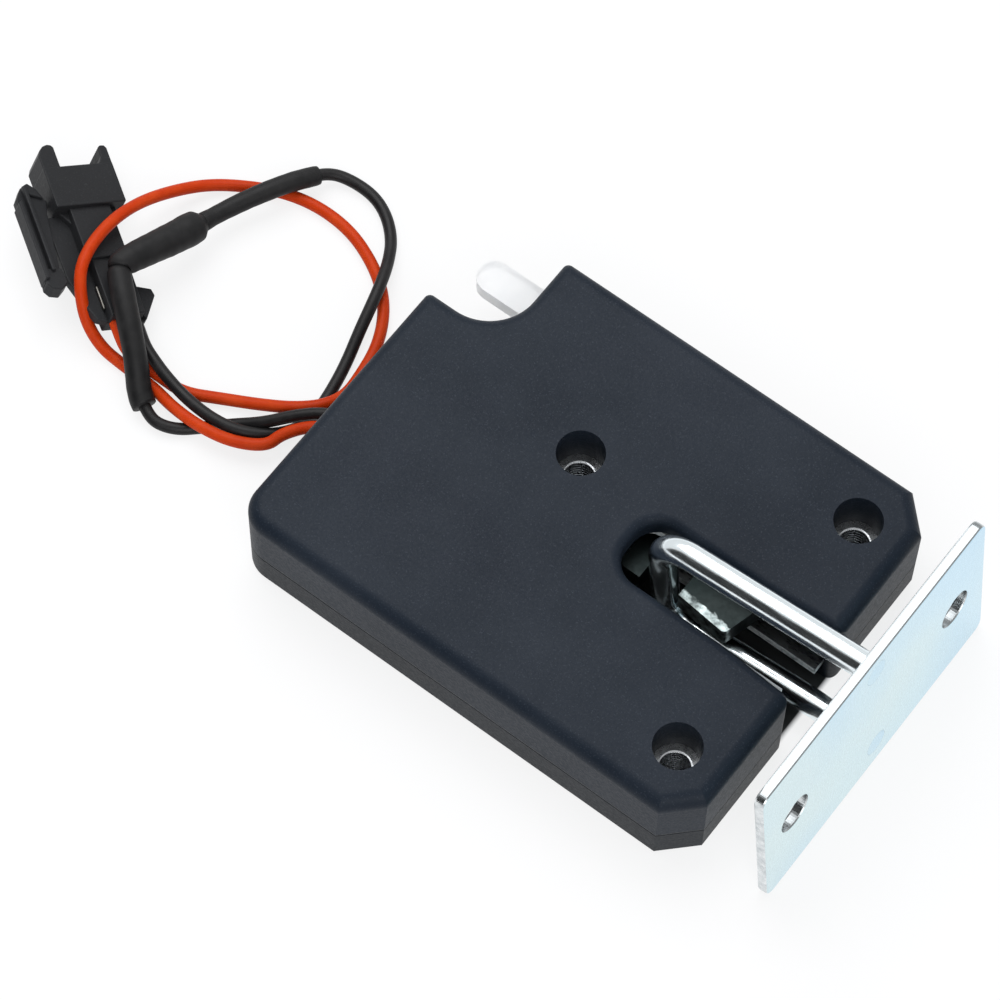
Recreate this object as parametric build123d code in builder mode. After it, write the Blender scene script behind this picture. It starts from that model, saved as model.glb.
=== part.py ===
from build123d import *
import os
from math import asin, atan2, cos, degrees, hypot, radians, sin, sqrt, tan

# Electric lock for a cabinet door: a plastic case with a claw worked by a
# solenoid, the keeper that the claw holds, and two leads with a plug.
# Lengths are millimetres. +X points out of the keeper slot, +Z is up, and the
# origin is the middle of the case's underside.

# Case
case_length = 75.0
case_width = 58.0
case_height = 16.1
parting_height = 6.2
side_wall = 1.8
floor_thickness = 1.8
roof_thickness = 1.8
top_edge_round = 2.1
bottom_edge_round = 0.8
rear_corner_round = 4.5
front_corner_chamfer = 4.6
notch_length = 12.3
notch_width = 15.3
notch_round = 7.5
notch_tip_round = 0.8

rear = -case_length / 2
front = case_length / 2
half_width = case_width / 2
roof_underside = case_height - roof_thickness

# Keeper slot
slot_depth = 30.5
slot_half_width = 4.9
slot_end_round = 4.2
slot_edge_round = 1.4
slot_rim = 1.8
flare_length = 12.0
flare_half_width = 5.7
mouth_round = 1.6

# Mounting holes, each with a steel bush
front_hole_inset = 7.75
front_hole_side_gap = 8.5
front_hole_pitch = case_width - 2 * front_hole_side_gap
rear_hole_setback = 31.75
rear_hole_y = 6.0
counterbore_radius = 3.4
counterbore_depth = 7.1
bush_bore_radius = 2.05
bush_fit = 0.02
boss_radius = 4.6
mounting_holes = [
    (front - front_hole_inset, front_hole_pitch / 2),
    (front - front_hole_inset, -front_hole_pitch / 2),
    (rear + rear_hole_setback, rear_hole_y),
]
bush_length = case_height - counterbore_depth

# Screws that close the case from below
screw_side_gap = 5.0
screw_rear_setback = 7.6
screw_mid_setback = 34.4
screw_far_setback = 20.0
screw_far_gap = 12.5
screw_places = [
    (rear + screw_rear_setback, -half_width + screw_side_gap),
    (rear + screw_mid_setback, -half_width + screw_side_gap),
    (rear + screw_far_setback, half_width - screw_far_gap),
]
screw_end_gap = 0.3
screw_boss_radius = 2.6
screw_shank_radius = 1.0
screw_pilot_radius = 1.1
screw_hole_radius = 1.3
screw_head_radius = 2.1
screw_head_height = 1.2
screw_recess_radius = 2.4
screw_recess_depth = 1.5
screw_length = 9.5
driver_size = 1.2
driver_depth = 0.6

# Steel frame plates that carry the claw and the pawl
plate_thickness = 1.5
cover_thickness = 1.2
cover_underside = 11.8
frame_length = 35.7
frame_side_gap = 0.8
frame_half_width = half_width - side_wall - frame_side_gap
frame_gap = 0.45
frame_yoke_gap = 1.0
slot_overrun = 20.0
frame_slot_half = 4.4
frame_slot_depth = 29.8
frame_hole_gap = 0.4
frame_corner_chamfer = 5.6
frame_front = front - side_wall - frame_gap
frame_rear = frame_front - frame_length
floor_top = floor_thickness
base_top = floor_top + plate_thickness
cover_top = cover_underside + cover_thickness

# Claw, a flat steel hook that turns about an upright pin
claw_pin_setback = 16.75
claw_side_gap = 17.5
claw_pin_y = half_width - claw_side_gap
claw_pin_radius = 2.0
claw_pin_spigot = 1.5
claw_pin_gap = 0.1
claw_bottom = 6.0
claw_thickness = 3.8
claw_hub_radius = 6.4
claw_tooth_radius = 7.3
claw_tooth_face = 1.5
claw_notch_width = 5.75
claw_notch_end = 5.4
claw_notch_reach = claw_pin_y - claw_notch_end
claw_beak_face = 5.15
claw_beak_front = 3.0
claw_beak_overlap = 0.4
claw_beak_reach = claw_pin_y + claw_beak_overlap
claw_beak_fall = 0.9
claw_prong_width = 3.5
claw_prong_overlap = 1.5
claw_prong_reach = claw_pin_y + claw_prong_overlap
claw_prong_shoulder = 5.46
claw_tip_round = 0.8
claw_x = front - claw_pin_setback
claw_top = claw_bottom + claw_thickness

# Pawl that holds the claw shut
pawl_setback = 34.0
pawl_claw_pitch = 5.0
pawl_y = claw_pin_y + pawl_claw_pitch
pawl_bottom = 6.5
pawl_thickness = 3.0
pawl_hub_radius = 3.0
pawl_reach = 15.0
pawl_tip_low = 1.6
pawl_tip_high = 3.9
pawl_pin_radius = 1.5
pawl_pin_gap = 0.08
pawl_post_lever = 7.5
pawl_post_radius = 1.2
pawl_eye_radius = 2.2
pawl_x = front - pawl_setback
pawl_top = pawl_bottom + pawl_thickness
post_y = pawl_y + pawl_post_lever

# Release slider with the hand tab
slider_width = 5.1
slider_side_gap = 2.9
slider_far_y = half_width - slider_side_gap
slider_rail_setback = 15.5
slider_rail_length = 16.0
slider_rail_width = 2.4
tab_tip = 1.5
bar_bottom = 6.5
bar_thickness = 2.5
bar_end = 33.5
bar_step = 3.0
slider_plate_bottom = 10.1
slider_plate_thickness = 1.4
slider_plate_end = 3.2
post_slot_gap = 0.15
post_slot_run = 0.7
link_setback = 35.3
link_width = 2.9
fork_width = 5.6
fork_gap = 0.15
slider_plate_top = slider_plate_bottom + slider_plate_thickness
slider_near_y = slider_far_y - slider_width
link_front = front - link_setback + link_width

# Solenoid
coil_side_gap = 16.0
coil_y = -half_width + coil_side_gap
coil_z = 8.0
yoke_rear = 5.0
yoke_length = 28.0
yoke_width = 16.2
yoke_height = 12.3
yoke_thickness = 1.2
yoke_gap = 0.1
bobbin_flange = 12.0
bobbin_flange_thickness = 1.0
bobbin_bore_radius = 3.2
bobbin_wall = 0.8
winding_radius = 5.85
pole_radius = 3.0
pole_length = 13.0
pole_spigot_radius = 2.0
plunger_radius = 2.95
plunger_rear = 23.2
plunger_neck_radius = 1.6
plunger_neck_gap = 0.12
plunger_head_thickness = 1.3
spring_bore_radius = 1.9
spring_bore_depth = 6.0
spring_coil_radius = 1.5
spring_wire_radius = 0.22
spring_turns = 5
spring_overhang = 0.9
lug_rear = 4.4
lug_length = 2.4
lug_offset = 4.8
lug_width = 4.3
lug_near_y = coil_y + lug_offset
lug_far_y = lug_near_y + lug_width
lug_bottom = 4.0
lug_height = 3.2
lug_gap = 0.2

# Claw spring, a coil around the claw pin with two legs
leg_wire_radius = 0.25
leg_coil_radius = 3.0
leg_coil_bottom = 3.95
leg_coil_pitch = 0.56
leg_coil_turns = 2
push_leg_length = 9.6
stop_leg_length = 8.6

# Keeper
keeper_width = 50.0
keeper_height = 28.4
keeper_thickness = 1.6
keeper_corner_round = 1.5
keeper_hole_radius = 2.85
keeper_hole_pitch = 36.6
keeper_hole_rise = 0.2
keeper_rod_radius = 1.95
keeper_leg_pitch = 20.4
keeper_loop_rise = 0.9
keeper_reach = 34.45
keeper_bend_radius = 5.0
keeper_rod_fit = 0.02
keeper_stand_off = 9.67

# Leads
lead_radius = 0.8
lead_exit_z = 5.6
red_exit_y = lug_near_y + 1.2
black_exit_y = lug_near_y + 3.2
sleeve_low_radius = 1.55
sleeve_thick_radius = 2.05
sleeve_thin_radius = 1.4
lead_port_gap = 0.35

# Plug
plug_x = -35.77
plug_y = -11.5
plug_turn = 140.0
plug_length = 17.0
plug_rear_length = 7.5
plug_half_width = 3.2
plug_rear_half_width = 3.0
plug_height = 5.8
plug_rear_height = 5.0
hood_length = 7.0
hood_near = 4.8
hood_far = 4.4
hood_height = 7.2
hood_wall = 1.0
hood_depth = 6.0
prong_length = 3.5
prong_width = 1.4
horn_width = 2.9
latch_rear = 5.0
latch_length = 19.0
latch_inner = 5.2
latch_width = 4.6
latch_height = 4.6
latch_ridge = 1.2
latch_ridge_height = 0.9
latch_web_start = 13.5
latch_web_length = 4.0
cavity_half = 1.1
cavity_pitch = 3.2
contact_half = 0.85
contact_start = 2.12
contact_length = 20.0
lead_entry_z = 2.9
window_start = 3.5
window_length = 2.6


def corner(sketch, x, y):
    """Vertex of a sketch that lies nearest to a point."""
    return sketch.vertices().sort_by_distance((x, y, 0))[0]


def case_outline(inset=0.0):
    """Plan of the case, drawn in by inset on every side."""
    far = half_width - inset
    x_notch = rear + notch_length + inset
    y_notch = half_width - notch_width - inset
    with BuildSketch() as plan:
        Rectangle(case_length - 2 * inset, case_width - 2 * inset)
        with Locations((rear, half_width)):
            Rectangle(2 * (notch_length + inset), 2 * (notch_width + inset), mode=Mode.SUBTRACT)
        fillet(corner(plan, x_notch, y_notch), notch_round + inset)
        chamfer(
            [corner(plan, front - inset, far), corner(plan, front - inset, -far)],
            front_corner_chamfer - inset * (2 - sqrt(2)),
        )
        fillet(corner(plan, rear + inset, -far), max(rear_corner_round - inset, 0.5))
        if inset == 0:
            fillet([corner(plan, rear, y_notch), corner(plan, x_notch, half_width)], notch_tip_round)
    return plan.sketch


def slot_outline():
    """Keeper slot in plan, from its round end to past the flared mouth."""
    end = front - slot_depth
    flare = front - flare_length
    beyond = front + 6
    wide = flare_half_width + 6
    with BuildSketch() as plan:
        Polygon(
            (beyond, wide),
            (front, wide),
            (front, flare_half_width),
            (flare, slot_half_width),
            (end, slot_half_width),
            (end, -slot_half_width),
            (flare, -slot_half_width),
            (front, -flare_half_width),
            (front, -wide),
            (beyond, -wide),
            align=None,
        )
        fillet([corner(plan, end, slot_half_width), corner(plan, end, -slot_half_width)], slot_end_round)
        fillet(
            [corner(plan, front, flare_half_width), corner(plan, front, -flare_half_width)],
            mouth_round,
        )
    return plan.sketch


def slot_rim_outline():
    """Keeper slot with its rim, in plan."""
    end = front - slot_depth - slot_rim
    wide = flare_half_width + slot_rim
    with BuildSketch() as plan:
        Polygon(
            (front + 6, wide),
            (front - flare_length, slot_half_width + slot_rim),
            (end, slot_half_width + slot_rim),
            (end, -slot_half_width - slot_rim),
            (front - flare_length, -slot_half_width - slot_rim),
            (front + 6, -wide),
            align=None,
        )
        fillet(
            [
                corner(plan, end, slot_half_width + slot_rim),
                corner(plan, end, -slot_half_width - slot_rim),
            ],
            slot_end_round + slot_rim,
        )
    return plan.sketch


def frame_outline():
    """Plan of the steel frame plates with their keeper slot and boss holes."""
    with BuildSketch() as plan:
        with Locations(((frame_front + frame_rear) / 2, 0)):
            Rectangle(frame_length, 2 * frame_half_width)
        chamfer(
            [
                corner(plan, frame_front, frame_half_width),
                corner(plan, frame_front, -frame_half_width),
            ],
            frame_corner_chamfer,
        )
        with Locations((frame_front - frame_slot_depth, 0)):
            SlotOverall(
                frame_slot_depth + slot_overrun, 2 * frame_slot_half,
                align=(Align.MIN, Align.CENTER), mode=Mode.SUBTRACT,
            )
        with Locations((rear + yoke_rear + yoke_length, coil_y)):
            Rectangle(2 * frame_yoke_gap, yoke_width + 2 * frame_yoke_gap, mode=Mode.SUBTRACT)
        with Locations(*mounting_holes[:2]):
            Circle(boss_radius + frame_hole_gap, mode=Mode.SUBTRACT)
    return plan.sketch


def tube(points, radius, bends):
    """Round tube along straight runs joined by tangent arcs."""
    with BuildPart() as made:
        with BuildLine() as path:
            FilletPolyline(*points, radius=bends)
        with BuildSketch(Plane(origin=path.line @ 0, z_dir=path.line % 0)):
            Circle(radius)
        sweep(path=path.line)
    return made.part


def cord_points(points):
    """Points given from the middle of the case's rear face."""
    return [Vector(rear + x, y, z) for x, y, z in points]


def cord_bends(points):
    """Largest radius that the two runs at each corner allow."""
    bends = []
    for before, here, after in zip(points, points[1:], points[2:]):
        turn = (here - before).get_angle(after - here)
        shorter = min((here - before).length, (after - here).length)
        bends.append(0.45 * shorter / tan(radians(turn) / 2))
    return bends


# Top shell: roof and walls above the parting line, slot rim, hole bosses
with BuildPart() as slot_cutter:
    with BuildSketch(Plane.XY.offset(-1)):
        add(slot_outline())
    extrude(amount=case_height + 1)
    with BuildSketch(Plane.XY.offset(case_height)):
        add(offset(slot_outline(), amount=2 * slot_edge_round, mode=Mode.PRIVATE))
    extrude(amount=3)
    ledge = slot_cutter.faces().filter_by(Axis.Z).sort_by(Axis.Z)[1]
    fillet(ledge.inner_wires().edges() if ledge.inner_wires() else ledge.edges(), slot_edge_round)

with BuildPart() as top_shell:
    with BuildSketch(Plane.XY.offset(parting_height)):
        add(case_outline())
    extrude(amount=case_height - parting_height)
    fillet(top_shell.faces().sort_by(Axis.Z)[-1].outer_wire().edges(), top_edge_round)
    with BuildSketch(Plane.XY.offset(parting_height)):
        add(case_outline(side_wall))
        with Locations(*mounting_holes):
            Circle(boss_radius, mode=Mode.SUBTRACT)
        with Locations(*screw_places):
            Circle(screw_boss_radius, mode=Mode.SUBTRACT)
    extrude(amount=cover_top - parting_height, mode=Mode.SUBTRACT)
    with BuildSketch(Plane.XY.offset(cover_top)):
        add(case_outline(side_wall))
        add(slot_rim_outline(), mode=Mode.SUBTRACT)
        with Locations(*mounting_holes):
            Circle(boss_radius, mode=Mode.SUBTRACT)
        with Locations(*screw_places):
            Circle(screw_boss_radius, mode=Mode.SUBTRACT)
    extrude(amount=roof_underside - cover_top, mode=Mode.SUBTRACT)
    add(slot_cutter.part, mode=Mode.SUBTRACT)
    with BuildSketch(Plane.XY.offset(parting_height)):
        with Locations(*mounting_holes):
            Circle(counterbore_radius)
    extrude(amount=case_height, mode=Mode.SUBTRACT)
    with BuildSketch(Plane.XY.offset(parting_height)):
        with Locations(*screw_places):
            Circle(screw_pilot_radius)
    extrude(amount=screw_length - parting_height, mode=Mode.SUBTRACT)
    # window for the hand tab
    with BuildSketch(Plane.XY.offset(parting_height)):
        with Locations((rear + notch_length + side_wall / 2, slider_far_y - slider_width / 2)):
            Rectangle(3 * side_wall, slider_width + 0.4)
    extrude(amount=bar_bottom + bar_thickness + 0.2 - parting_height, mode=Mode.SUBTRACT)
    # upper part of the lead port
    with BuildSketch(Plane.XY.offset(parting_height)):
        with Locations((rear + side_wall / 2, (lug_near_y + lug_far_y) / 2)):
            Rectangle(2 * side_wall, lug_far_y - lug_near_y)
    extrude(amount=lead_exit_z + lead_radius + lead_port_gap - parting_height, mode=Mode.SUBTRACT)
top_shell.part.label = "top_shell"

# Bottom shell: floor, low walls, bosses and the rail under the slider
with BuildPart() as bottom_shell:
    with BuildSketch():
        add(case_outline())
    extrude(amount=parting_height)
    fillet(bottom_shell.faces().sort_by(Axis.Z)[0].outer_wire().edges(), bottom_edge_round)
    with BuildSketch(Plane.XY.offset(floor_top)):
        add(case_outline(side_wall))
        with Locations(*mounting_holes):
            Circle(boss_radius, mode=Mode.SUBTRACT)
        with Locations(*screw_places):
            Circle(screw_boss_radius, mode=Mode.SUBTRACT)
        with Locations((rear + slider_rail_setback, slider_far_y - slider_width / 2)):
            Rectangle(
                slider_rail_length, slider_rail_width,
                align=(Align.MIN, Align.CENTER), mode=Mode.SUBTRACT,
            )
    extrude(amount=parting_height - floor_top, mode=Mode.SUBTRACT)
    with BuildSketch(Plane.XY.offset(-1)):
        add(slot_outline())
        with Locations(*mounting_holes):
            Circle(counterbore_radius)
        with Locations(*screw_places):
            Circle(screw_hole_radius)
    extrude(amount=case_height, mode=Mode.SUBTRACT)
    with BuildSketch():
        with Locations(*screw_places):
            Circle(screw_recess_radius)
    extrude(amount=screw_recess_depth, mode=Mode.SUBTRACT)
    with BuildSketch(Plane.XY.offset(lead_exit_z - lead_radius - lead_port_gap)):
        with Locations((rear + side_wall / 2, (lug_near_y + lug_far_y) / 2)):
            Rectangle(2 * side_wall, lug_far_y - lug_near_y)
    extrude(amount=parting_height, mode=Mode.SUBTRACT)
bottom_shell.part.label = "bottom_shell"

# Steel bushes at the foot of the counterbored mounting holes
with BuildPart() as mounting_bushes:
    with BuildSketch():
        with Locations(*mounting_holes):
            Circle(counterbore_radius - bush_fit)
            Circle(bush_bore_radius, mode=Mode.SUBTRACT)
    extrude(amount=bush_length)
    chamfer(mounting_bushes.faces().group_by(Axis.Z)[-1].edges().filter_by(
        lambda e: e.radius < bush_bore_radius + 0.1), 0.3)
mounting_bushes.part.label = "mounting_bushes"

# Screws that close the case
with BuildPart() as case_screws:
    with BuildSketch(Plane.XY.offset(screw_recess_depth - screw_head_height)):
        with Locations(*screw_places):
            Circle(screw_head_radius)
    extrude(amount=screw_head_height)
    with BuildSketch(Plane.XY.offset(screw_recess_depth)):
        with Locations(*screw_places):
            Circle(screw_shank_radius)
    extrude(amount=screw_length - screw_recess_depth - screw_end_gap)
    with BuildSketch(Plane.XY.offset(screw_recess_depth - screw_head_height)):
        with Locations(*screw_places):
            Rectangle(2 * driver_size, driver_size / 3)
            Rectangle(driver_size / 3, 2 * driver_size)
    extrude(amount=driver_depth, mode=Mode.SUBTRACT)
case_screws.part.label = "case_screws"

# Steel frame: base plate on the floor, cover plate under the slot rim
with BuildPart() as frame_base_plate:
    with BuildSketch(Plane.XY.offset(floor_top)):
        add(frame_outline())
        with Locations((claw_x, claw_pin_y)):
            Circle(claw_pin_spigot, mode=Mode.SUBTRACT)
        with Locations((pawl_x, pawl_y)):
            Circle(pawl_pin_radius * 0.8, mode=Mode.SUBTRACT)
    extrude(amount=plate_thickness)
frame_base_plate.part.label = "frame_base_plate"

with BuildPart() as frame_cover_plate:
    with BuildSketch(Plane.XY.offset(cover_underside)):
        add(frame_outline())
        with Locations((claw_x, claw_pin_y)):
            Circle(claw_pin_spigot, mode=Mode.SUBTRACT)
    extrude(amount=cover_thickness)
frame_cover_plate.part.label = "frame_cover_plate"

# Claw pin, shouldered between the two plates
with BuildPart() as claw_pivot_pin:
    with BuildSketch(Plane.XZ.offset(-claw_pin_y)) as profile:
        Polygon(
            (claw_x, floor_top),
            (claw_x + claw_pin_spigot, floor_top),
            (claw_x + claw_pin_spigot, base_top),
            (claw_x + claw_pin_radius, base_top),
            (claw_x + claw_pin_radius, cover_underside),
            (claw_x + claw_pin_spigot, cover_underside),
            (claw_x + claw_pin_spigot, cover_top),
            (claw_x, cover_top),
            align=None,
        )
    revolve(axis=Axis((claw_x, claw_pin_y, 0), (0, 0, 1)))
claw_pivot_pin.part.label = "claw_pivot_pin"

# Pawl stud, riveted to the base plate
with BuildPart() as pawl_pivot_pin:
    with BuildSketch(Plane.XZ.offset(-pawl_y)):
        Polygon(
            (pawl_x, floor_top),
            (pawl_x + pawl_pin_radius * 0.8, floor_top),
            (pawl_x + pawl_pin_radius * 0.8, base_top),
            (pawl_x + pawl_pin_radius + 1, base_top),
            (pawl_x + pawl_pin_radius + 1, pawl_bottom - 0.2),
            (pawl_x + pawl_pin_radius, pawl_bottom - 0.2),
            (pawl_x + pawl_pin_radius, pawl_top + 0.2),
            (pawl_x, pawl_top + 0.2),
            align=None,
        )
    revolve(axis=Axis((pawl_x, pawl_y, 0), (0, 0, 1)))
pawl_pivot_pin.part.label = "pawl_pivot_pin"

# Claw: hub with a tooth for the pawl, notch for the keeper, beak and prong
beak_x = claw_x - claw_beak_face
notch_x = beak_x - claw_notch_width
prong_x = notch_x - claw_prong_width
with BuildPart() as claw:
    with BuildSketch(Plane.XY.offset(claw_bottom)) as claw_plan:
        Polygon(
            (prong_x, claw_pin_y - claw_prong_reach),
            (notch_x, claw_pin_y - claw_prong_reach),
            (beak_x, claw_pin_y - claw_beak_reach),
            (claw_x + claw_beak_front, claw_pin_y - claw_beak_reach - claw_beak_fall),
            (claw_x + claw_hub_radius * 0.97, claw_pin_y - 1.5),
            (claw_x, claw_pin_y + claw_hub_radius * 0.86),
            (claw_x - claw_hub_radius * 0.9, claw_pin_y + claw_hub_radius * 0.47),
            (prong_x, claw_pin_y - claw_prong_shoulder),
            align=None,
        )
        fillet(
            [
                corner(claw_plan, prong_x, claw_pin_y - claw_prong_reach),
                corner(claw_plan, claw_x + claw_beak_front, -claw_beak_fall),
            ],
            claw_tip_round,
        )
        with Locations((claw_x, claw_pin_y)):
            Circle(claw_hub_radius)
        with BuildSketch(mode=Mode.PRIVATE) as tooth:
            with Locations((claw_x, claw_pin_y)):
                Circle(claw_tooth_radius)
            with Locations((claw_x - claw_tooth_face, claw_pin_y + 3)):
                Rectangle(
                    claw_tooth_radius, claw_tooth_radius,
                    align=(Align.MIN, Align.MIN), mode=Mode.INTERSECT,
                )
        add(tooth.sketch)
        with Locations((notch_x + claw_notch_width / 2, claw_pin_y - claw_notch_reach)):
            SlotOverall(
                4 * claw_notch_width, claw_notch_width, rotation=90,
                align=(Align.MAX, Align.CENTER), mode=Mode.SUBTRACT,
            )
        with Locations((claw_x, claw_pin_y)):
            Circle(claw_pin_radius + claw_pin_gap, mode=Mode.SUBTRACT)
    extrude(amount=claw_thickness)
claw.part.label = "claw"

# Claw spring: coil under the claw, one leg on a boss and one behind the claw
start_turn = 257.0
coil_start = (
    claw_x + leg_coil_radius * cos(radians(start_turn)),
    claw_pin_y + leg_coil_radius * sin(radians(start_turn)),
)
leg_end = (
    coil_start[0] + push_leg_length * sin(radians(start_turn)),
    coil_start[1] - push_leg_length * cos(radians(start_turn)),
)
coil_turns = leg_coil_turns + (360 - start_turn) / 360
coil_top = leg_coil_bottom + coil_turns * leg_coil_pitch
coil_plane = Plane(
    origin=(claw_x, claw_pin_y, leg_coil_bottom),
    x_dir=(cos(radians(start_turn)), sin(radians(start_turn)), 0), z_dir=(0, 0, 1),
)
coil_line = coil_plane.location * Helix(leg_coil_pitch, coil_turns * leg_coil_pitch, leg_coil_radius)
with BuildPart() as claw_spring:
    with BuildSketch(Plane(origin=coil_line @ 0, z_dir=coil_line % 0)):
        Circle(leg_wire_radius)
    sweep(path=coil_line, is_frenet=True)
    with BuildSketch(Plane(origin=coil_line @ 0, z_dir=(coil_line % 0) * -1)):
        Circle(leg_wire_radius)
    extrude(amount=push_leg_length)
    with BuildSketch(Plane(origin=(*leg_end, leg_coil_bottom - 2 * leg_wire_radius))):
        Circle(leg_wire_radius)
    extrude(amount=claw_top - leg_coil_bottom + leg_wire_radius)
    with BuildSketch(Plane(origin=coil_line @ 1, z_dir=coil_line % 1)):
        Circle(leg_wire_radius)
    extrude(amount=stop_leg_length)
claw_spring.part.label = "claw_spring"

# Pawl: arm to the claw's tooth and arm to the drive post
with BuildPart() as pawl:
    with BuildSketch(Plane.XY.offset(pawl_bottom)) as pawl_plan:
        with Locations((pawl_x, pawl_y)):
            Circle(pawl_hub_radius)
        with Locations((pawl_x, post_y)):
            Circle(pawl_eye_radius)
        Polygon(
            (pawl_x + 1.0, pawl_y - 0.94 * pawl_hub_radius),
            (pawl_x + pawl_reach, pawl_y + pawl_tip_low),
            (pawl_x + pawl_reach, pawl_y + pawl_tip_high),
            (pawl_x - 0.3, pawl_y + 0.99 * pawl_hub_radius),
            align=None,
        )
        with Locations((pawl_x, pawl_y + pawl_post_lever / 2)):
            Rectangle(2 * pawl_eye_radius - 0.4, pawl_post_lever)
        with Locations((pawl_x, pawl_y)):
            Circle(pawl_pin_radius + pawl_pin_gap, mode=Mode.SUBTRACT)
        with Locations((pawl_x, post_y)):
            Circle(pawl_post_radius, mode=Mode.SUBTRACT)
    extrude(amount=pawl_thickness)
pawl.part.label = "pawl"

with BuildPart() as pawl_drive_post:
    with BuildSketch(Plane.XY.offset(pawl_bottom)):
        with Locations((pawl_x, post_y)):
            Circle(pawl_post_radius)
    extrude(amount=slider_plate_top - pawl_bottom)
pawl_drive_post.part.label = "pawl_drive_post"

# Release slider: hand tab and bar, raised plate round the post, link and fork
slider_mid_y = slider_far_y - slider_width / 2
with BuildPart() as release_slider:
    with BuildSketch(Plane.XY.offset(bar_bottom)) as bar_plan:
        with Locations((rear + tab_tip, slider_mid_y)):
            Rectangle(bar_end - tab_tip, slider_width, align=(Align.MIN, Align.CENTER))
        fillet(
            [
                corner(bar_plan, rear + tab_tip, slider_near_y),
                corner(bar_plan, rear + tab_tip, slider_far_y),
            ],
            slider_width / 2 - 0.1,
        )
    extrude(amount=bar_thickness)
    with BuildSketch(Plane.XY.offset(bar_bottom)):
        with Locations((rear + bar_end - bar_step, slider_mid_y)):
            Rectangle(bar_step, slider_width, align=(Align.MIN, Align.CENTER))
    extrude(amount=slider_plate_top - bar_bottom)
    with BuildSketch(Plane.XY.offset(slider_plate_bottom)):
        with Locations((rear + bar_end - bar_step, slider_mid_y)):
            Rectangle(
                pawl_x + slider_plate_end - rear - bar_end + bar_step,
                slider_width, align=(Align.MIN, Align.CENTER),
            )
        with Locations((link_front - link_width, coil_y - fork_width / 2)):
            Rectangle(
                link_width, slider_mid_y - coil_y + fork_width / 2,
                align=(Align.MIN, Align.MIN),
            )
        with Locations((pawl_x, post_y - post_slot_run / 2)):
            SlotOverall(
                2 * (pawl_post_radius + post_slot_gap) + post_slot_run,
                2 * (pawl_post_radius + post_slot_gap), rotation=90, mode=Mode.SUBTRACT,
            )
    extrude(amount=slider_plate_thickness)
    with BuildSketch(Plane.YZ.offset(link_front - link_width)):
        with Locations((coil_y, coil_z - plunger_radius)):
            Rectangle(
                fork_width, slider_plate_top - coil_z + plunger_radius,
                align=(Align.CENTER, Align.MIN),
            )
        with Locations((coil_y, coil_z + plunger_neck_radius + fork_gap)):
            SlotOverall(
                8 * plunger_neck_radius, 2 * (plunger_neck_radius + fork_gap), rotation=90,
                align=(Align.MAX, Align.CENTER), mode=Mode.SUBTRACT,
            )
    extrude(amount=link_width)
release_slider.part.label = "release_slider"

# Plunger with a necked end for the fork and a blind bore for its spring
neck_start = link_front - link_width - plunger_neck_gap
neck_end = link_front + plunger_neck_gap
coil_axis = Plane(origin=(rear, coil_y, coil_z), x_dir=(0, 1, 0), z_dir=(1, 0, 0))
with BuildPart() as plunger:
    with BuildSketch(coil_axis.offset(plunger_rear)):
        Circle(plunger_radius)
    extrude(amount=neck_start - rear - plunger_rear)
    with BuildSketch(coil_axis.offset(neck_start - rear)):
        Circle(plunger_neck_radius)
    extrude(amount=neck_end - neck_start)
    with BuildSketch(coil_axis.offset(neck_end - rear)):
        Circle(plunger_radius)
    extrude(amount=plunger_head_thickness)
    with BuildSketch(coil_axis.offset(plunger_rear)):
        Circle(spring_bore_radius)
    extrude(amount=spring_bore_depth, mode=Mode.SUBTRACT)
plunger.part.label = "plunger"

# Plunger spring, riding in the plunger's bore
spring_start = plunger_rear - spring_overhang
spring_pitch = (spring_bore_depth + spring_overhang - 2 * spring_wire_radius) / spring_turns
spring_base = coil_axis.offset(spring_start + spring_wire_radius)
turns = spring_base.location * Helix(spring_pitch, spring_turns * spring_pitch, spring_coil_radius)
with BuildPart() as plunger_spring:
    with BuildSketch(Plane(origin=turns @ 0, z_dir=turns % 0)):
        Circle(spring_wire_radius)
    sweep(path=turns, is_frenet=True)
plunger_spring.part.label = "plunger_spring"

# Solenoid: yoke, bobbin with its lead lug, winding and fixed pole
yoke_mid = yoke_rear + yoke_length / 2
bobbin_start = yoke_rear + yoke_thickness + yoke_gap
bobbin_length = yoke_length - 2 * yoke_thickness - 2 * yoke_gap
with BuildPart() as solenoid_yoke:
    with BuildSketch(Plane.XY.offset(floor_top)):
        with Locations((rear + yoke_mid, coil_y)):
            Rectangle(yoke_length, yoke_width)
            Rectangle(
                yoke_length - 2 * yoke_thickness, yoke_width - 2 * yoke_thickness,
                mode=Mode.SUBTRACT,
            )
    extrude(amount=yoke_height)
    with BuildSketch(coil_axis.offset(yoke_rear)):
        Circle(pole_spigot_radius)
    extrude(amount=yoke_thickness, mode=Mode.SUBTRACT)
    with BuildSketch(coil_axis.offset(yoke_rear + yoke_length - yoke_thickness)):
        Circle(bobbin_bore_radius)
    extrude(amount=yoke_thickness, mode=Mode.SUBTRACT)
    with BuildSketch(Plane.XY.offset(lug_bottom - lug_gap)):
        with Locations((rear + yoke_rear - 0.1, lug_near_y - lug_gap)):
            Rectangle(
                lug_rear + lug_length - yoke_rear + 0.1 + lug_gap,
                coil_y + yoke_width / 2 - lug_near_y + 2 * lug_gap,
                align=(Align.MIN, Align.MIN),
            )
    extrude(amount=lug_height + 2 * lug_gap, mode=Mode.SUBTRACT)
solenoid_yoke.part.label = "solenoid_yoke"

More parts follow.
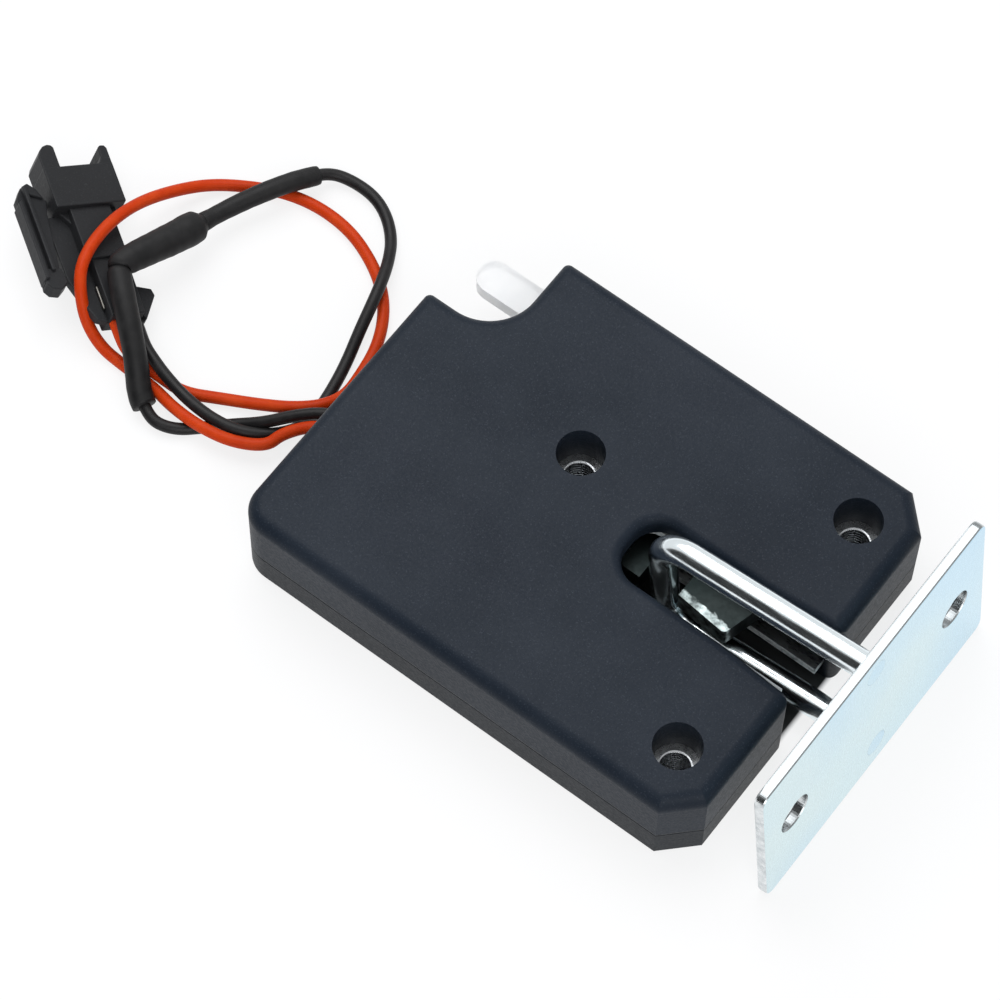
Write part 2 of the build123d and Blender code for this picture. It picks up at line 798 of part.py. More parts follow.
with BuildPart() as coil_bobbin:
    with BuildSketch(coil_axis.offset(bobbin_start)):
        Circle(bobbin_bore_radius + bobbin_wall)
    extrude(amount=bobbin_length)
    with BuildSketch(coil_axis.offset(bobbin_start)):
        RectangleRounded(bobbin_flange, bobbin_flange, 1.5)
    extrude(amount=bobbin_flange_thickness)
    with BuildSketch(coil_axis.offset(bobbin_start + bobbin_length - bobbin_flange_thickness)):
        RectangleRounded(bobbin_flange, bobbin_flange, 1.5)
    extrude(amount=bobbin_flange_thickness)
    with BuildSketch(Plane.XY.offset(lug_bottom)):
        with Locations((rear + lug_rear, lug_near_y)):
            Rectangle(lug_length, lug_far_y - lug_near_y, align=(Align.MIN, Align.MIN))
    extrude(amount=lug_height)
    with BuildSketch(coil_axis.offset(bobbin_start)):
        Circle(bobbin_bore_radius)
    extrude(amount=bobbin_length, mode=Mode.SUBTRACT)
coil_bobbin.part.label = "coil_bobbin"

with BuildPart() as coil_winding:
    with BuildSketch(coil_axis.offset(bobbin_start + bobbin_flange_thickness)):
        Circle(winding_radius)
        Circle(bobbin_bore_radius + bobbin_wall, mode=Mode.SUBTRACT)
    extrude(amount=bobbin_length - 2 * bobbin_flange_thickness)
coil_winding.part.label = "coil_winding"

with BuildPart() as pole_piece:
    with BuildSketch(coil_axis.offset(yoke_rear)):
        Circle(pole_spigot_radius)
    extrude(amount=yoke_thickness)
    with BuildSketch(coil_axis.offset(yoke_rear + yoke_thickness)):
        Circle(pole_radius)
    extrude(amount=pole_length)
pole_piece.part.label = "pole_piece"

# Keeper: it stands on the plate's lower edge and on the loop's lower bend
bend_centre = keeper_reach - keeper_bend_radius
low_leg = keeper_loop_rise - keeper_leg_pitch / 2
foot_rise = keeper_height / 2 + low_leg + keeper_bend_radius
foot_run = bend_centre - keeper_thickness
foot_drop = keeper_bend_radius + keeper_rod_radius
keeper_tilt = degrees(atan2(foot_rise, foot_run) - asin(foot_drop / hypot(foot_rise, foot_run)))
lean = radians(keeper_tilt)
keeper_x = front + keeper_stand_off
keeper_z = keeper_thickness * sin(lean) + keeper_height / 2 * cos(lean)
keeper_plane = Plane(
    origin=(keeper_x, 0, keeper_z), x_dir=(0, 1, 0), z_dir=(cos(lean), 0, sin(lean))
)
with BuildPart() as keeper_plate:
    with BuildSketch(keeper_plane):
        RectangleRounded(keeper_width, keeper_height, keeper_corner_round)
        with Locations((0, keeper_hole_rise)):
            with GridLocations(keeper_hole_pitch, 0, 2, 1):
                Circle(keeper_hole_radius, mode=Mode.SUBTRACT)
        with Locations((0, keeper_loop_rise)):
            with GridLocations(0, keeper_leg_pitch, 1, 2):
                Circle(keeper_rod_radius + keeper_rod_fit, mode=Mode.SUBTRACT)
    extrude(amount=-keeper_thickness)
keeper_plate.part.label = "keeper_plate"

high_leg = keeper_loop_rise + keeper_leg_pitch / 2
with BuildPart() as keeper_loop:
    with BuildLine() as loop_path:
        FilletPolyline(
            keeper_plane.from_local_coords((0, high_leg, 0)),
            keeper_plane.from_local_coords((0, high_leg, -keeper_reach)),
            keeper_plane.from_local_coords((0, low_leg, -keeper_reach)),
            keeper_plane.from_local_coords((0, low_leg, 0)),
            radius=keeper_bend_radius,
        )
    with BuildSketch(Plane(origin=loop_path.line @ 0, z_dir=loop_path.line % 0)):
        Circle(keeper_rod_radius)
    sweep(path=loop_path.line)
keeper_loop.part.label = "keeper_loop"

# Leads: red to the plug, black through a sleeve to the plug
red_points = cord_points([
    (lug_rear, red_exit_y, lead_exit_z), (0.4, red_exit_y - 0.1, 5.55), (-3.3, -8.5, 4.70), (-6.2, -11.6, 3.50),
    (-6.9, -14.0, 2.70), (-11.2, -16.4, 2.65), (-16.1, -17.3, 2.75), (-21.1, -17.0, 2.10),
    (-25.1, -15.9, 0.95), (-28.1, -15.7, 0.85), (-31.4, -15.6, 0.85), (-35.4, -15.4, 1.10),
    (-38.8, -14.4, 3.50), (-41.2, -12.4, 5.90), (-43.4, -9.5, 7.20), (-44.4, -5.3, 7.60),
    (-44.4, -0.6, 7.50), (-43.9, 4.5, 5.60), (-42.3, 9.8, 3.00), (-39.7, 14.3, 1.20),
    (-35.3, 17.5, 0.85), (-30.5, 19.9, 0.85), (-25.1, 21.0, 0.85), (-19.3, 20.6, 0.85),
    (-13.9, 18.5, 0.85), (-9.6, 15.6, 0.85), (-6.7, 12.0, 0.85), (-4.8, 7.8, 0.85),
    (-4.0, 3.2, 0.90), (-3.5, -0.6, 1.50), (-4.5, -4.1, 2.60), (-7.6, -7.0, 2.60),
    (-12.3, -9.1, 1.30), (-17.2, -11.4, 0.85), (-21.9, -13.9, 0.85), (-25.9, -13.9, 0.85),
    (-29.6, -14.2, 1.70), (-33.8, -15.1, 2.75), (-36.2, -13.2, 2.85), (-38.3, -11.4, 2.90),
])
black_short_points = cord_points([
    (lug_rear, black_exit_y, lead_exit_z), (0.4, black_exit_y - 0.02, lead_exit_z), (-3.2, -6.1, 5.00), (-6.5, -8.6, 4.00),
    (-9.5, -11.4, 2.65), (-13.5, -13.7, 0.90), (-16.4, -16.5, 0.85), (-18.8, -18.8, 0.95),
    (-21.3, -19.9, 1.05), (-23.2, -19.8, 1.20), (-24.7, -19.0, 1.60),
])
black_long_points = cord_points([
    (-28.2, 24.2, 2.20), (-27.5, 25.5, 1.80), (-25.3, 26.9, 1.20), (-20.9, 27.3, 0.85),
    (-17.2, 26.0, 0.85), (-13.9, 23.2, 0.85), (-11.7, 19.6, 1.70), (-10.1, 15.9, 2.75),
    (-9.0, 12.3, 2.75), (-8.1, 8.4, 1.90), (-6.8, 3.7, 0.85), (-5.8, -0.7, 0.85),
    (-5.3, -4.4, 0.85), (-5.4, -7.7, 0.90), (-6.7, -10.5, 1.50), (-8.9, -13.0, 2.20),
    (-12.1, -14.75, 2.65), (-16.1, -15.3, 2.70), (-20.5, -15.0, 2.75), (-24.8, -14.1, 2.80),
    (-28.4, -13.2, 2.80), (-31.8, -12.7, 2.85), (-34.1, -10.8, 2.90), (-36.3, -9.0, 2.90),
])
sleeve_low_points = cord_points([
    (-24.7, -19.0, 1.60), (-26.2, -18.2, 2.00), (-28.4, -15.8, 5.20), (-31.7, -12.9, 6.90),
    (-34.9, -10.25, 8.00), (-36.6, -8.75, 8.15),
])
sleeve_thick_points = cord_points([
    (-36.6, -8.75, 8.15), (-38.3, -7.25, 8.30), (-38.5, -5.3, 8.10), (-37.4, -0.8, 6.80),
    (-36.3, 3.6, 5.30), (-35.5, 7.4, 4.30),
])
sleeve_thin_points = cord_points([
    (-35.5, 7.4, 4.30), (-34.7, 11.2, 3.30), (-32.3, 16.2, 3.60), (-30.2, 20.3, 3.40),
    (-28.9, 22.9, 2.60), (-28.2, 24.2, 2.20),
])
for name, route in (
    ("red", red_points), ("black short", black_short_points), ("black long", black_long_points),
    ("sleeve low", sleeve_low_points), ("sleeve thick", sleeve_thick_points),
    ("sleeve thin", sleeve_thin_points),
):
    print(name, "bend radii", [round(r, 1) for r in cord_bends(route)])

with BuildPart() as red_lead:
    add(tube(red_points, lead_radius, cord_bends(red_points)))
red_lead.part.label = "red_lead"

with BuildPart() as black_lead_short:
    add(tube(black_short_points, lead_radius, cord_bends(black_short_points)))
black_lead_short.part.label = "black_lead_short"

with BuildPart() as black_lead_long:
    add(tube(black_long_points, lead_radius, cord_bends(black_long_points)))
black_lead_long.part.label = "black_lead_long"

with BuildPart() as sleeve_low:
    add(tube(sleeve_low_points, sleeve_low_radius, cord_bends(sleeve_low_points)))
sleeve_low.part.label = "sleeve_low"

with BuildPart() as sleeve_thick:
    add(tube(sleeve_thick_points, sleeve_thick_radius, cord_bends(sleeve_thick_points)))
sleeve_thick.part.label = "sleeve_thick"

with BuildPart() as sleeve_thin:
    add(tube(sleeve_thin_points, sleeve_thin_radius, cord_bends(sleeve_thin_points)))
sleeve_thin.part.label = "sleeve_thin"

# Plug, drawn along its own axis from the end where the leads go in
plug_plane = Plane(
    origin=(rear + plug_x, plug_y, 0),
    x_dir=(cos(radians(plug_turn)), sin(radians(plug_turn)), 0), z_dir=(0, 0, 1),
)
plug_side = Plane(
    origin=plug_plane.origin, x_dir=plug_plane.x_dir, z_dir=plug_plane.y_dir * -1
)
with BuildPart() as plug_housing:
    with BuildSketch(plug_plane):
        Rectangle(plug_rear_length, 2 * plug_rear_half_width, align=(Align.MIN, Align.CENTER))
    extrude(amount=plug_rear_height)
    with BuildSketch(plug_plane):
        with Locations((plug_rear_length, 0)):
            Rectangle(
                plug_length - plug_rear_length, 2 * plug_half_width,
                align=(Align.MIN, Align.CENTER),
            )
    extrude(amount=plug_height)
    with BuildSketch(plug_plane) as hood_plan:
        with Locations((plug_length, (hood_far - hood_near) / 2)):
            Rectangle(hood_length, hood_near + hood_far, align=(Align.MIN, Align.CENTER))
        with Locations((plug_length + hood_length, -hood_near + prong_width / 2 + 1.6)):
            Rectangle(prong_length, prong_width, align=(Align.MIN, Align.CENTER))
        with Locations((plug_length + hood_length, hood_far + horn_width / 2 - 0.9)):
            Rectangle(prong_length, horn_width, align=(Align.MIN, Align.CENTER))
    extrude(amount=hood_height)
    # socket inside the hood
    with BuildSketch(plug_plane.offset(hood_wall)):
        with Locations((plug_length + hood_length, (hood_far - hood_near) / 2)):
            Rectangle(
                hood_depth, hood_near + hood_far - 2 * hood_wall,
                align=(Align.MAX, Align.CENTER),
            )
    extrude(amount=hood_height - 2 * hood_wall, mode=Mode.SUBTRACT)
    # bores for the two contacts
    with BuildSketch(plug_plane.offset(lead_entry_z - cavity_half)):
        for side in (-cavity_pitch / 2, cavity_pitch / 2):
            with Locations((0, side)):
                Rectangle(
                    plug_length + hood_length - hood_depth, 2 * cavity_half,
                    align=(Align.MIN, Align.CENTER),
                )
    extrude(amount=2 * cavity_half, mode=Mode.SUBTRACT)
    # window over one contact
    with BuildSketch(plug_plane.offset(lead_entry_z)):
        with Locations((window_start, cavity_pitch / 2)):
            Rectangle(window_length, 2 * cavity_half, align=(Align.MIN, Align.CENTER))
    extrude(amount=plug_height, mode=Mode.SUBTRACT)
    # latch lever on its web
    with BuildSketch(plug_plane):
        with Locations((latch_rear, latch_inner)):
            Rectangle(latch_length, latch_width, align=(Align.MIN, Align.MIN))
        with Locations((latch_web_start, plug_half_width)):
            Rectangle(latch_web_length, latch_inner - plug_half_width, align=(Align.MIN, Align.MIN))
    extrude(amount=latch_height)
    with BuildSketch(plug_plane.offset(latch_height)):
        for shift in (0.0, latch_width - latch_ridge):
            with Locations((latch_rear + 1.0, latch_inner + shift)):
                Rectangle(latch_length - 3.0, latch_ridge, align=(Align.MIN, Align.MIN))
    extrude(amount=latch_ridge_height)
    # fin at the rear corner
    with BuildSketch(plug_plane):
        Polygon(
            (0.2, -plug_rear_half_width), (2.8, -6.1), (3.9, -5.8), (5.2, -4.3),
            (5.2, -plug_rear_half_width), align=None,
        )
    extrude(amount=3.6)
plug_housing.part.label = "plug_housing"

with BuildPart() as plug_contacts:
    with BuildSketch(plug_plane.offset(lead_entry_z - contact_half)):
        for side in (-cavity_pitch / 2, cavity_pitch / 2):
            with Locations((contact_start, side)):
                Rectangle(contact_length, 2 * contact_half, align=(Align.MIN, Align.CENTER))
    extrude(amount=2 * contact_half)
plug_contacts.part.label = "plug_contacts"

os.makedirs("parts", exist_ok=True)
for piece in (
    top_shell, bottom_shell, mounting_bushes, case_screws, frame_base_plate, frame_cover_plate,
    claw_pivot_pin, pawl_pivot_pin, claw, claw_spring, pawl, pawl_drive_post, release_slider,
    plunger, plunger_spring, solenoid_yoke, coil_bobbin, coil_winding, pole_piece,
    keeper_plate, keeper_loop, red_lead, black_lead_short, black_lead_long,
    sleeve_low, sleeve_thick, sleeve_thin, plug_housing, plug_contacts,
):
    export_step(piece.part, f"parts/{piece.part.label}.step")
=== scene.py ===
"""Dresses the solenoid lock: case, keeper, claw work, leads, sleeves and plug.

Lengths are metres in the part's own frame: X points out of the keeper slot and
Z is up, with the origin in the middle of the case's underside.
"""

import logging
import math
from dataclasses import dataclass, field
from enum import Enum

import bmesh
import bpy
import numpy as np
from mathutils import Matrix, Vector

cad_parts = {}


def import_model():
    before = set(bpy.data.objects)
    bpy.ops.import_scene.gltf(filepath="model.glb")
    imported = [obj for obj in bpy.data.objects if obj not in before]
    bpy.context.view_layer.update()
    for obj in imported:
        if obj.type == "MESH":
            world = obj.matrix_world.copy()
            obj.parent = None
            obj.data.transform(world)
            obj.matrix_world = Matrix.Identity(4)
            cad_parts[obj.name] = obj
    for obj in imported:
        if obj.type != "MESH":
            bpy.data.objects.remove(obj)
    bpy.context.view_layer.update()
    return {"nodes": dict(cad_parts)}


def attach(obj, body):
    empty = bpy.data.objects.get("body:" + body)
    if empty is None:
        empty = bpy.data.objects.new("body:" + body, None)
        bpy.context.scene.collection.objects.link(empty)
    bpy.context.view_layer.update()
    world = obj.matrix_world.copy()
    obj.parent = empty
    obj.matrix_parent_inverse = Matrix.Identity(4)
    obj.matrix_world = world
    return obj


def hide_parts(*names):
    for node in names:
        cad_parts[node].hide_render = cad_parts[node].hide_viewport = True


log = logging.getLogger("solenoid_lock")

Triple = tuple[float, float, float]
Socket = bpy.types.NodeSocket
Material = bpy.types.Material

MM = 0.001
REAR_FACE = -37.5
SEAM = 0.0062
KEEPER_NORMAL = (0.99458, 0.0, 0.10399)
KEEPER_ZINC = (0.56, 0.77, 0.91)
KEEPER_TINT = (0.66, 0.84, 0.90)
SHARP_ANGLE = math.radians(35)
NOISE_RANGE = (0.3, 0.7)


class Body(Enum):
    """The bodies of the frame that pieces ride on."""

    LOCK = "lock"
    KEEPER = "keeper"


class NodeSheet:
    """One material's node tree, with short calls for the nodes that the finishes share."""

    def __init__(self, name: str) -> None:
        """Starts a material with a bare shader."""
        self.material = bpy.data.materials.new(name)
        self.material.use_nodes = True
        self.tree = self.material.node_tree
        self.shader = self.tree.nodes["Principled BSDF"]

    def add(self, kind: str, **values: object) -> bpy.types.Node:
        """Adds a node and sets its inputs.

        Args:
            kind: the node's type name.
            values: inputs by name, with _ for a space, as numbers or sockets.

        Returns:
            The new node.
        """
        node = self.tree.nodes.new(kind)
        for key, value in values.items():
            self.put(node.inputs[key.replace("_", " ")], value)
        return node

    def put(self, socket: Socket, value: object) -> None:
        """Links a socket to another, or sets its constant."""
        if isinstance(value, Socket):
            self.tree.links.new(value, socket)
        else:
            socket.default_value = value

    def finish(self, **values: object) -> Material:
        """Sets the shader's own inputs and returns the material."""
        for key, value in values.items():
            self.put(self.shader.inputs[key.replace("_", " ")], value)
        return self.material

    def place(self, stretch: Triple = (1, 1, 1)) -> Socket:
        """Object coordinates, stretched per axis."""
        where = self.add("ShaderNodeTexCoord")
        mapped = self.add("ShaderNodeMapping", Vector=where.outputs["Object"])
        mapped.inputs["Scale"].default_value = stretch
        return mapped.outputs["Vector"]

    def noise(self, scale: float, detail: float = 3.0, rough: float = 0.5,
              stretch: Triple = (1, 1, 1)) -> Socket:
        """Cloudy noise with scale features to the metre, stretched per axis."""
        made = self.add("ShaderNodeTexNoise", Vector=self.place(stretch), Scale=scale,
                        Detail=detail, Roughness=rough)
        return made.outputs[0]

    def spread(self, value: Socket, low: float, high: float,
               to_low: float, to_high: float) -> Socket:
        """Maps a range of values to another.

        Args:
            value: the socket to map.
            low: the value that becomes to_low, as do all below it.
            high: the value that becomes to_high, as do all above it.
            to_low: the result at low.
            to_high: the result at high.

        Returns:
            The result's socket.
        """
        made = self.add("ShaderNodeMapRange", Value=value, From_Min=low, From_Max=high,
                        To_Min=to_low, To_Max=to_high)
        return made.outputs["Result"]

    def mottle(self, pattern: Socket, least: float, most: float) -> Socket:
        """Maps the usual range of a noise to values from least to most."""
        return self.spread(pattern, *NOISE_RANGE, least, most)

    def blend(self, share: Socket, one: object, two: object) -> Socket:
        """Blends two colours by a share from 0 to 1."""
        made = self.tree.nodes.new("ShaderNodeMix")
        made.data_type = "RGBA"
        self.put(made.inputs[0], share)
        for slot, value in ((6, one), (7, two)):
            self.put(made.inputs[slot],
                     (*value, 1.0) if isinstance(value, tuple) and len(value) == 3 else value)
        return made.outputs[2]

    def parts(self, axis: str) -> Socket:
        """One of the object coordinates."""
        return self.add("ShaderNodeSeparateXYZ", Vector=self.place()).outputs[axis]

    def math(self, operation: str, one: object, two: object = 0.0) -> Socket:
        """One sum of two numbers or sockets."""
        made = self.tree.nodes.new("ShaderNodeMath")
        made.operation = operation
        self.put(made.inputs[0], one)
        self.put(made.inputs[1], two)
        return made.outputs[0]

    def along(self, direction: Triple, what: Socket | None = None) -> Socket:
        """How far a point, or another vector, lies along a direction."""
        made = self.tree.nodes.new("ShaderNodeVectorMath")
        made.operation = "DOT_PRODUCT"
        self.put(made.inputs[0], what or self.place())
        made.inputs[1].default_value = direction
        return made.outputs["Value"]

    def sides(self) -> Socket:
        """1 on upright faces and 0 on level ones."""
        facing = self.add("ShaderNodeSeparateXYZ",
                          Vector=self.add("ShaderNodeNewGeometry").outputs["True Normal"])
        return self.spread(self.math("ABSOLUTE", facing.outputs["Z"]), 0.4, 0.8, 1.0, 0.0)

    def rings(self, axis: str, pitch: float) -> Socket:
        """Even waves along an axis, from 0 to 1."""
        made = self.add("ShaderNodeTexWave", Vector=self.place(), Scale=2 * math.pi / (20 * pitch),
                        Distortion=0.0)
        made.bands_direction = axis
        return made.outputs[0]

    def relief(self, height: Socket, depth: float, strength: float = 1.0,
               under: Socket | None = None) -> Socket:
        """Bump from a height map.

        Args:
            height: the map, from 0 to 1.
            depth: how deep it is in metres.
            strength: how much of it is used.
            under: another relief that it lies on.

        Returns:
            The normal's socket.
        """
        made = self.add("ShaderNodeBump", Height=height, Strength=strength, Distance=depth)
        if under is not None:
            self.put(made.inputs["Normal"], under)
        return made.outputs["Normal"]


@dataclass(frozen=True)
class MouldedPlastic:
    """Spark-eroded moulded plastic: fine pits, faint cloudiness and small pale specks."""

    name: str
    colour: Triple
    pale: Triple
    roughness: float = 0.45
    grain: float = 2600.0
    depth: float = 0.00006
    sheen: float = 0.12
    seam: float = 0.0
    seam_line: tuple[float, float] = (0.00003, 0.0001)
    seam_groove: tuple[float, float] = (0.00004, 0.00022)
    seam_depth: float = 0.0002
    seam_black: Triple = (0.002, 0.002, 0.003)

    def make(self) -> Material:
        """Builds the material."""
        sheet = NodeSheet(self.name)
        pits = sheet.noise(self.grain, 2.0, 0.6)
        cloud = sheet.noise(60.0, 4.0, 0.6)
        speck = sheet.spread(sheet.noise(self.grain * 1.9, 1.0, 0.5), 0.60, 0.78, 0.0, 1.0)
        base = sheet.blend(sheet.mottle(cloud, 0.0, 0.35), self.colour, self.pale)
        base = sheet.blend(speck, base, self.pale)
        rough = sheet.mottle(pits, self.roughness - 0.05, self.roughness + 0.07)
        skin = sheet.relief(pits, self.depth, 0.55)
        if self.seam:
            away = sheet.math("ABSOLUTE", sheet.math("SUBTRACT", sheet.parts("Z"), self.seam))
            base = sheet.blend(sheet.spread(away, *self.seam_line, 1.0, 0.0), base, self.seam_black)
            groove = sheet.spread(away, *self.seam_groove, 0.0, 1.0)
            skin = sheet.relief(groove, self.seam_depth, 1.0, skin)
        return sheet.finish(Base_Color=base, Roughness=rough, Normal=skin,
                            Specular_IOR_Level=self.sheen)


@dataclass(frozen=True)
class PlatedSteel:
    """Zinc-plated steel: cool tint, cloudy passivation and fine rolling lines; cut edges, where
    given, are painted near white, as paler bare steel and a painted highlight.
    """

    name: str
    colour: Triple
    tint: Triple
    roughness: float = 0.3
    lines: Triple = (1.0, 1.0, 1.0)
    line_scale: float = 900.0
    depth: float = 0.00001
    cut: Triple | None = None
    cut_grain: float = 700.0
    cut_metal: float = 0.1
    pitch: float = 0.0
    ring_depth: float = 0.0002
    capped: Triple | None = None
    cap_span: tuple[float, float] = (0.0475, 0.0478)
    cap_rougher: float = 0.12

    def make(self) -> Material:
        """Builds the material."""
        sheet = NodeSheet(self.name)
        cloud = sheet.noise(85.0, 3.0, 0.55)
        fine = sheet.noise(self.line_scale, 3.0, 0.6, self.lines)
        base = sheet.blend(sheet.spread(cloud, 0.35, 0.7, 0.0, 1.0), self.colour, self.tint)
        rough = sheet.mottle(fine, self.roughness - 0.06, self.roughness + 0.08)
        skin, metal = sheet.relief(fine, self.depth, 0.5), 1.0
        if self.capped:
            plate = sheet.blend(sheet.spread(cloud, 0.35, 0.7, 0.0, 1.0), self.capped, KEEPER_TINT)
            cap = sheet.spread(sheet.along(KEEPER_NORMAL), *self.cap_span, 0.0, 1.0)
            base = sheet.blend(cap, base, plate)
            rough = sheet.math("ADD", rough, sheet.math("MULTIPLY", cap, self.cap_rougher))
        # cut edges: near white and nearly matte, partly the paler bare steel and partly a painted
        # highlight
        if self.cut:
            grain = sheet.spread(sheet.noise(self.cut_grain, 4.0, 0.7), 0.32, 0.5, 0.0, 1.0)
            bare_cut_and_painted_highlight = sheet.blend(grain, self.colour, self.cut)
            base = sheet.blend(sheet.sides(), base, bare_cut_and_painted_highlight)
            metal = sheet.spread(sheet.sides(), 0.0, 1.0, 1.0, self.cut_metal)
        if self.pitch:
            skin = sheet.relief(sheet.rings("Z", self.pitch), self.ring_depth, 1.0, skin)
        return sheet.finish(Base_Color=base, Metallic=metal, Roughness=rough, Normal=skin)


@dataclass(frozen=True)
class ClawSteel:
    """Dark claw steel, with a bright band painted along the beak's edge: painted light on a face
    that lies in the slot's shade.
    """

    name: str = "claw_steel"
    colour: Triple = (0.013, 0.018, 0.018)
    tint: Triple = (0.025, 0.031, 0.031)
    # colour of the painted light along the beak's edge
    wear_and_painted_light: Triple = (0.50, 0.58, 0.58)
    edge_start: tuple[float, float] = (15.6, -0.4)
    edge_end: tuple[float, float] = (23.75, -1.3)
    width: float = 1.15
    fade: float = 0.12
    ragged: float = 0.3
    lead_in: float = 0.4

    def make(self) -> Material:
        """Builds the material."""
        sheet = NodeSheet(self.name)
        start = np.array(self.edge_start) * MM
        run = np.array(self.edge_end) * MM - start
        run /= np.linalg.norm(run)
        inward = (-float(run[1]), float(run[0]), 0.0)
        past = sheet.math("SUBTRACT", sheet.along(inward), float(np.dot(inward[:2], start)))
        past = sheet.math("ADD", past, sheet.mottle(
            sheet.noise(900.0), -self.ragged * MM, self.ragged * MM))
        low, high = (self.width - self.fade) * MM, (self.width + self.fade) * MM
        # painted light: a bright band along the beak's edge, which lies in the slot's shade
        painted_light_band = sheet.spread(past, low, high, 1.0, 0.0)
        begin = float(start[0])
        painted_light_band = sheet.math("MULTIPLY", painted_light_band, sheet.spread(
            sheet.parts("X"), begin - self.lead_in * MM, begin, 0.0, 1.0))
        patches = sheet.spread(sheet.noise(430.0, 4.0, 0.7), 0.36, 0.66, 0.06, 1.0)
        fine = sheet.noise(650.0, 3.0, 0.6, (2, 2, 0.3))
        cloud = sheet.spread(sheet.noise(85.0), 0.35, 0.7, 0.0, 1.0)
        base = sheet.blend(cloud, self.colour, self.tint)
        # the painted light, broken into patches, goes over the steel's own colour
        base = sheet.blend(sheet.math("MULTIPLY", painted_light_band, patches), base, self.wear_and_painted_light)
        rough = sheet.mottle(fine, 0.38, 0.5)
        return sheet.finish(Base_Color=base, Metallic=1.0, Roughness=rough,
                            Normal=sheet.relief(fine, 0.00003, 0.5))


@dataclass(frozen=True)
class KeeperZinc:
    """Bluish zinc of the keeper plate: pale clouds on its faces, grey grain on its cut edges, and
    painted shade inside its holes and on its upward edges.
    """

    name: str = "keeper_zinc"
    roughness: float = 0.27
    edge: Triple = (0.50, 0.54, 0.56)
    edge_pale: Triple = (0.86, 0.89, 0.90)
    # painted shade on the cut edges that face up to the lamp
    painted_top_edge_shade: Triple = (0.29, 0.31, 0.32)
    warm: Triple = (0.72, 0.84, 0.83)
    # colour of the painted shade inside the two holes
    shade: Triple = (0.035, 0.040, 0.043)
    hole_off: float = 0.0183
    hole_up: float = 0.009507
    bore_span: tuple[float, float] = (0.00292, 0.00306)
    shade_span: tuple[float, float] = (-0.0012, 0.0006)

    def make(self) -> Material:
        """Builds the material."""
        sheet = NodeSheet(self.name)
        facing = sheet.add("ShaderNodeNewGeometry").outputs["True Normal"]
        cut = sheet.spread(sheet.math("ABSOLUTE", sheet.along(KEEPER_NORMAL, facing)),
                           0.80, 0.92, 1.0, 0.0)
        base = sheet.blend(cut, self.face(sheet), self.cut_edge(sheet, facing))
        # painted shade inside the two holes, deepest in their upper half
        base = sheet.blend(self.painted_bore_shade(sheet, cut), base, self.shade)
        fine = sheet.noise(500.0, 3.0, 0.6, (1, 5, 0.4))
        rough = sheet.mottle(fine, self.roughness - 0.03, self.roughness + 0.04)
        return sheet.finish(Base_Color=base, Metallic=1.0, Roughness=rough,
                            Normal=sheet.relief(fine, 0.000003, 0.5))

    def face(self, sheet: NodeSheet) -> Socket:
        """Colour of the broad faces: two blues in clouds, with a few warmer ones."""
        cloud = sheet.spread(sheet.noise(34.0, 2.5, 0.5), 0.35, 0.65, 0.0, 1.0)
        warmth = sheet.spread(sheet.noise(21.0, 2.0), 0.45, 0.72, 0.0, 0.8)
        return sheet.blend(warmth, sheet.blend(cloud, KEEPER_ZINC, KEEPER_TINT), self.warm)

    def cut_edge(self, sheet: NodeSheet, facing: Socket) -> Socket:
        """Colour of the cut edges: grey grain, with painted shade where they face up to the lamp.
        """
        grain = sheet.mottle(sheet.noise(900.0, 3.0, 0.7), 0.0, 1.0)
        upward = sheet.spread(sheet.along((0.0, 0.0, 1.0), facing), 0.6, 0.9, 0.0, 1.0)
        # painted shade where an edge faces up to the lamp
        return sheet.blend(upward, sheet.blend(grain, self.edge, self.edge_pale), self.painted_top_edge_shade)

    def painted_bore_shade(self, sheet: NodeSheet, cut: Socket) -> Socket:
        """How much painted shade a point gets inside the two holes, most in their upper half."""
        beside = sheet.math("SUBTRACT", sheet.math("ABSOLUTE", sheet.parts("Y")), self.hole_off)
        up = (-KEEPER_NORMAL[2], 0.0, KEEPER_NORMAL[0])
        above = sheet.math("SUBTRACT", sheet.along(up), self.hole_up)
        off = sheet.math("SQRT", sheet.math("ADD", sheet.math("MULTIPLY", beside, beside),
                                            sheet.math("MULTIPLY", above, above)))
        bored = sheet.math("MULTIPLY", cut, sheet.spread(off, *self.bore_span, 1.0, 0.0))
        return sheet.math("MULTIPLY", bored, sheet.spread(above, *self.shade_span, 0.1, 1.0))


@dataclass(frozen=True)
class Insulation:
    """Soft extruded insulation with a waxy gloss and faint smears."""

    name: str
    colour: Triple
    wear_and_painted_light: Triple
    roughness: float = 0.36
    sheen: float = 0.2

    def make(self) -> Material:
        """Builds the material."""
        sheet = NodeSheet(self.name)
        smear = sheet.noise(420.0, 3.0, 0.6)
        base = sheet.blend(sheet.spread(smear, 0.42, 0.75, 0.0, 0.8), self.colour, self.wear_and_painted_light)
        rough = sheet.mottle(smear, self.roughness - 0.06, self.roughness + 0.1)
        return sheet.finish(Base_Color=base, Roughness=rough, Specular_IOR_Level=self.sheen,
                            Normal=sheet.relief(sheet.noise(1500.0, 2.0), 0.00003, 0.35))


@dataclass(frozen=True)
class MilkyPlastic:
    """Translucent white plastic of the hand tab."""

    name: str
    colour: Triple = (0.90, 0.91, 0.92)
    clear: Triple = (0.96, 0.96, 0.96)
    through: float = 0.5

    def make(self) -> Material:
        """Builds the material."""
        sheet = NodeSheet(self.name)
        cloud = sheet.noise(260.0, 3.0)
        base = sheet.blend(sheet.mottle(cloud, 0.0, 1.0), self.colour, self.clear)
        return sheet.finish(Base_Color=base, Roughness=sheet.mottle(cloud, 0.34, 0.44),
                            Transmission_Weight=self.through, IOR=1.25,
                            Normal=sheet.relief(cloud, 0.000004, 0.3))


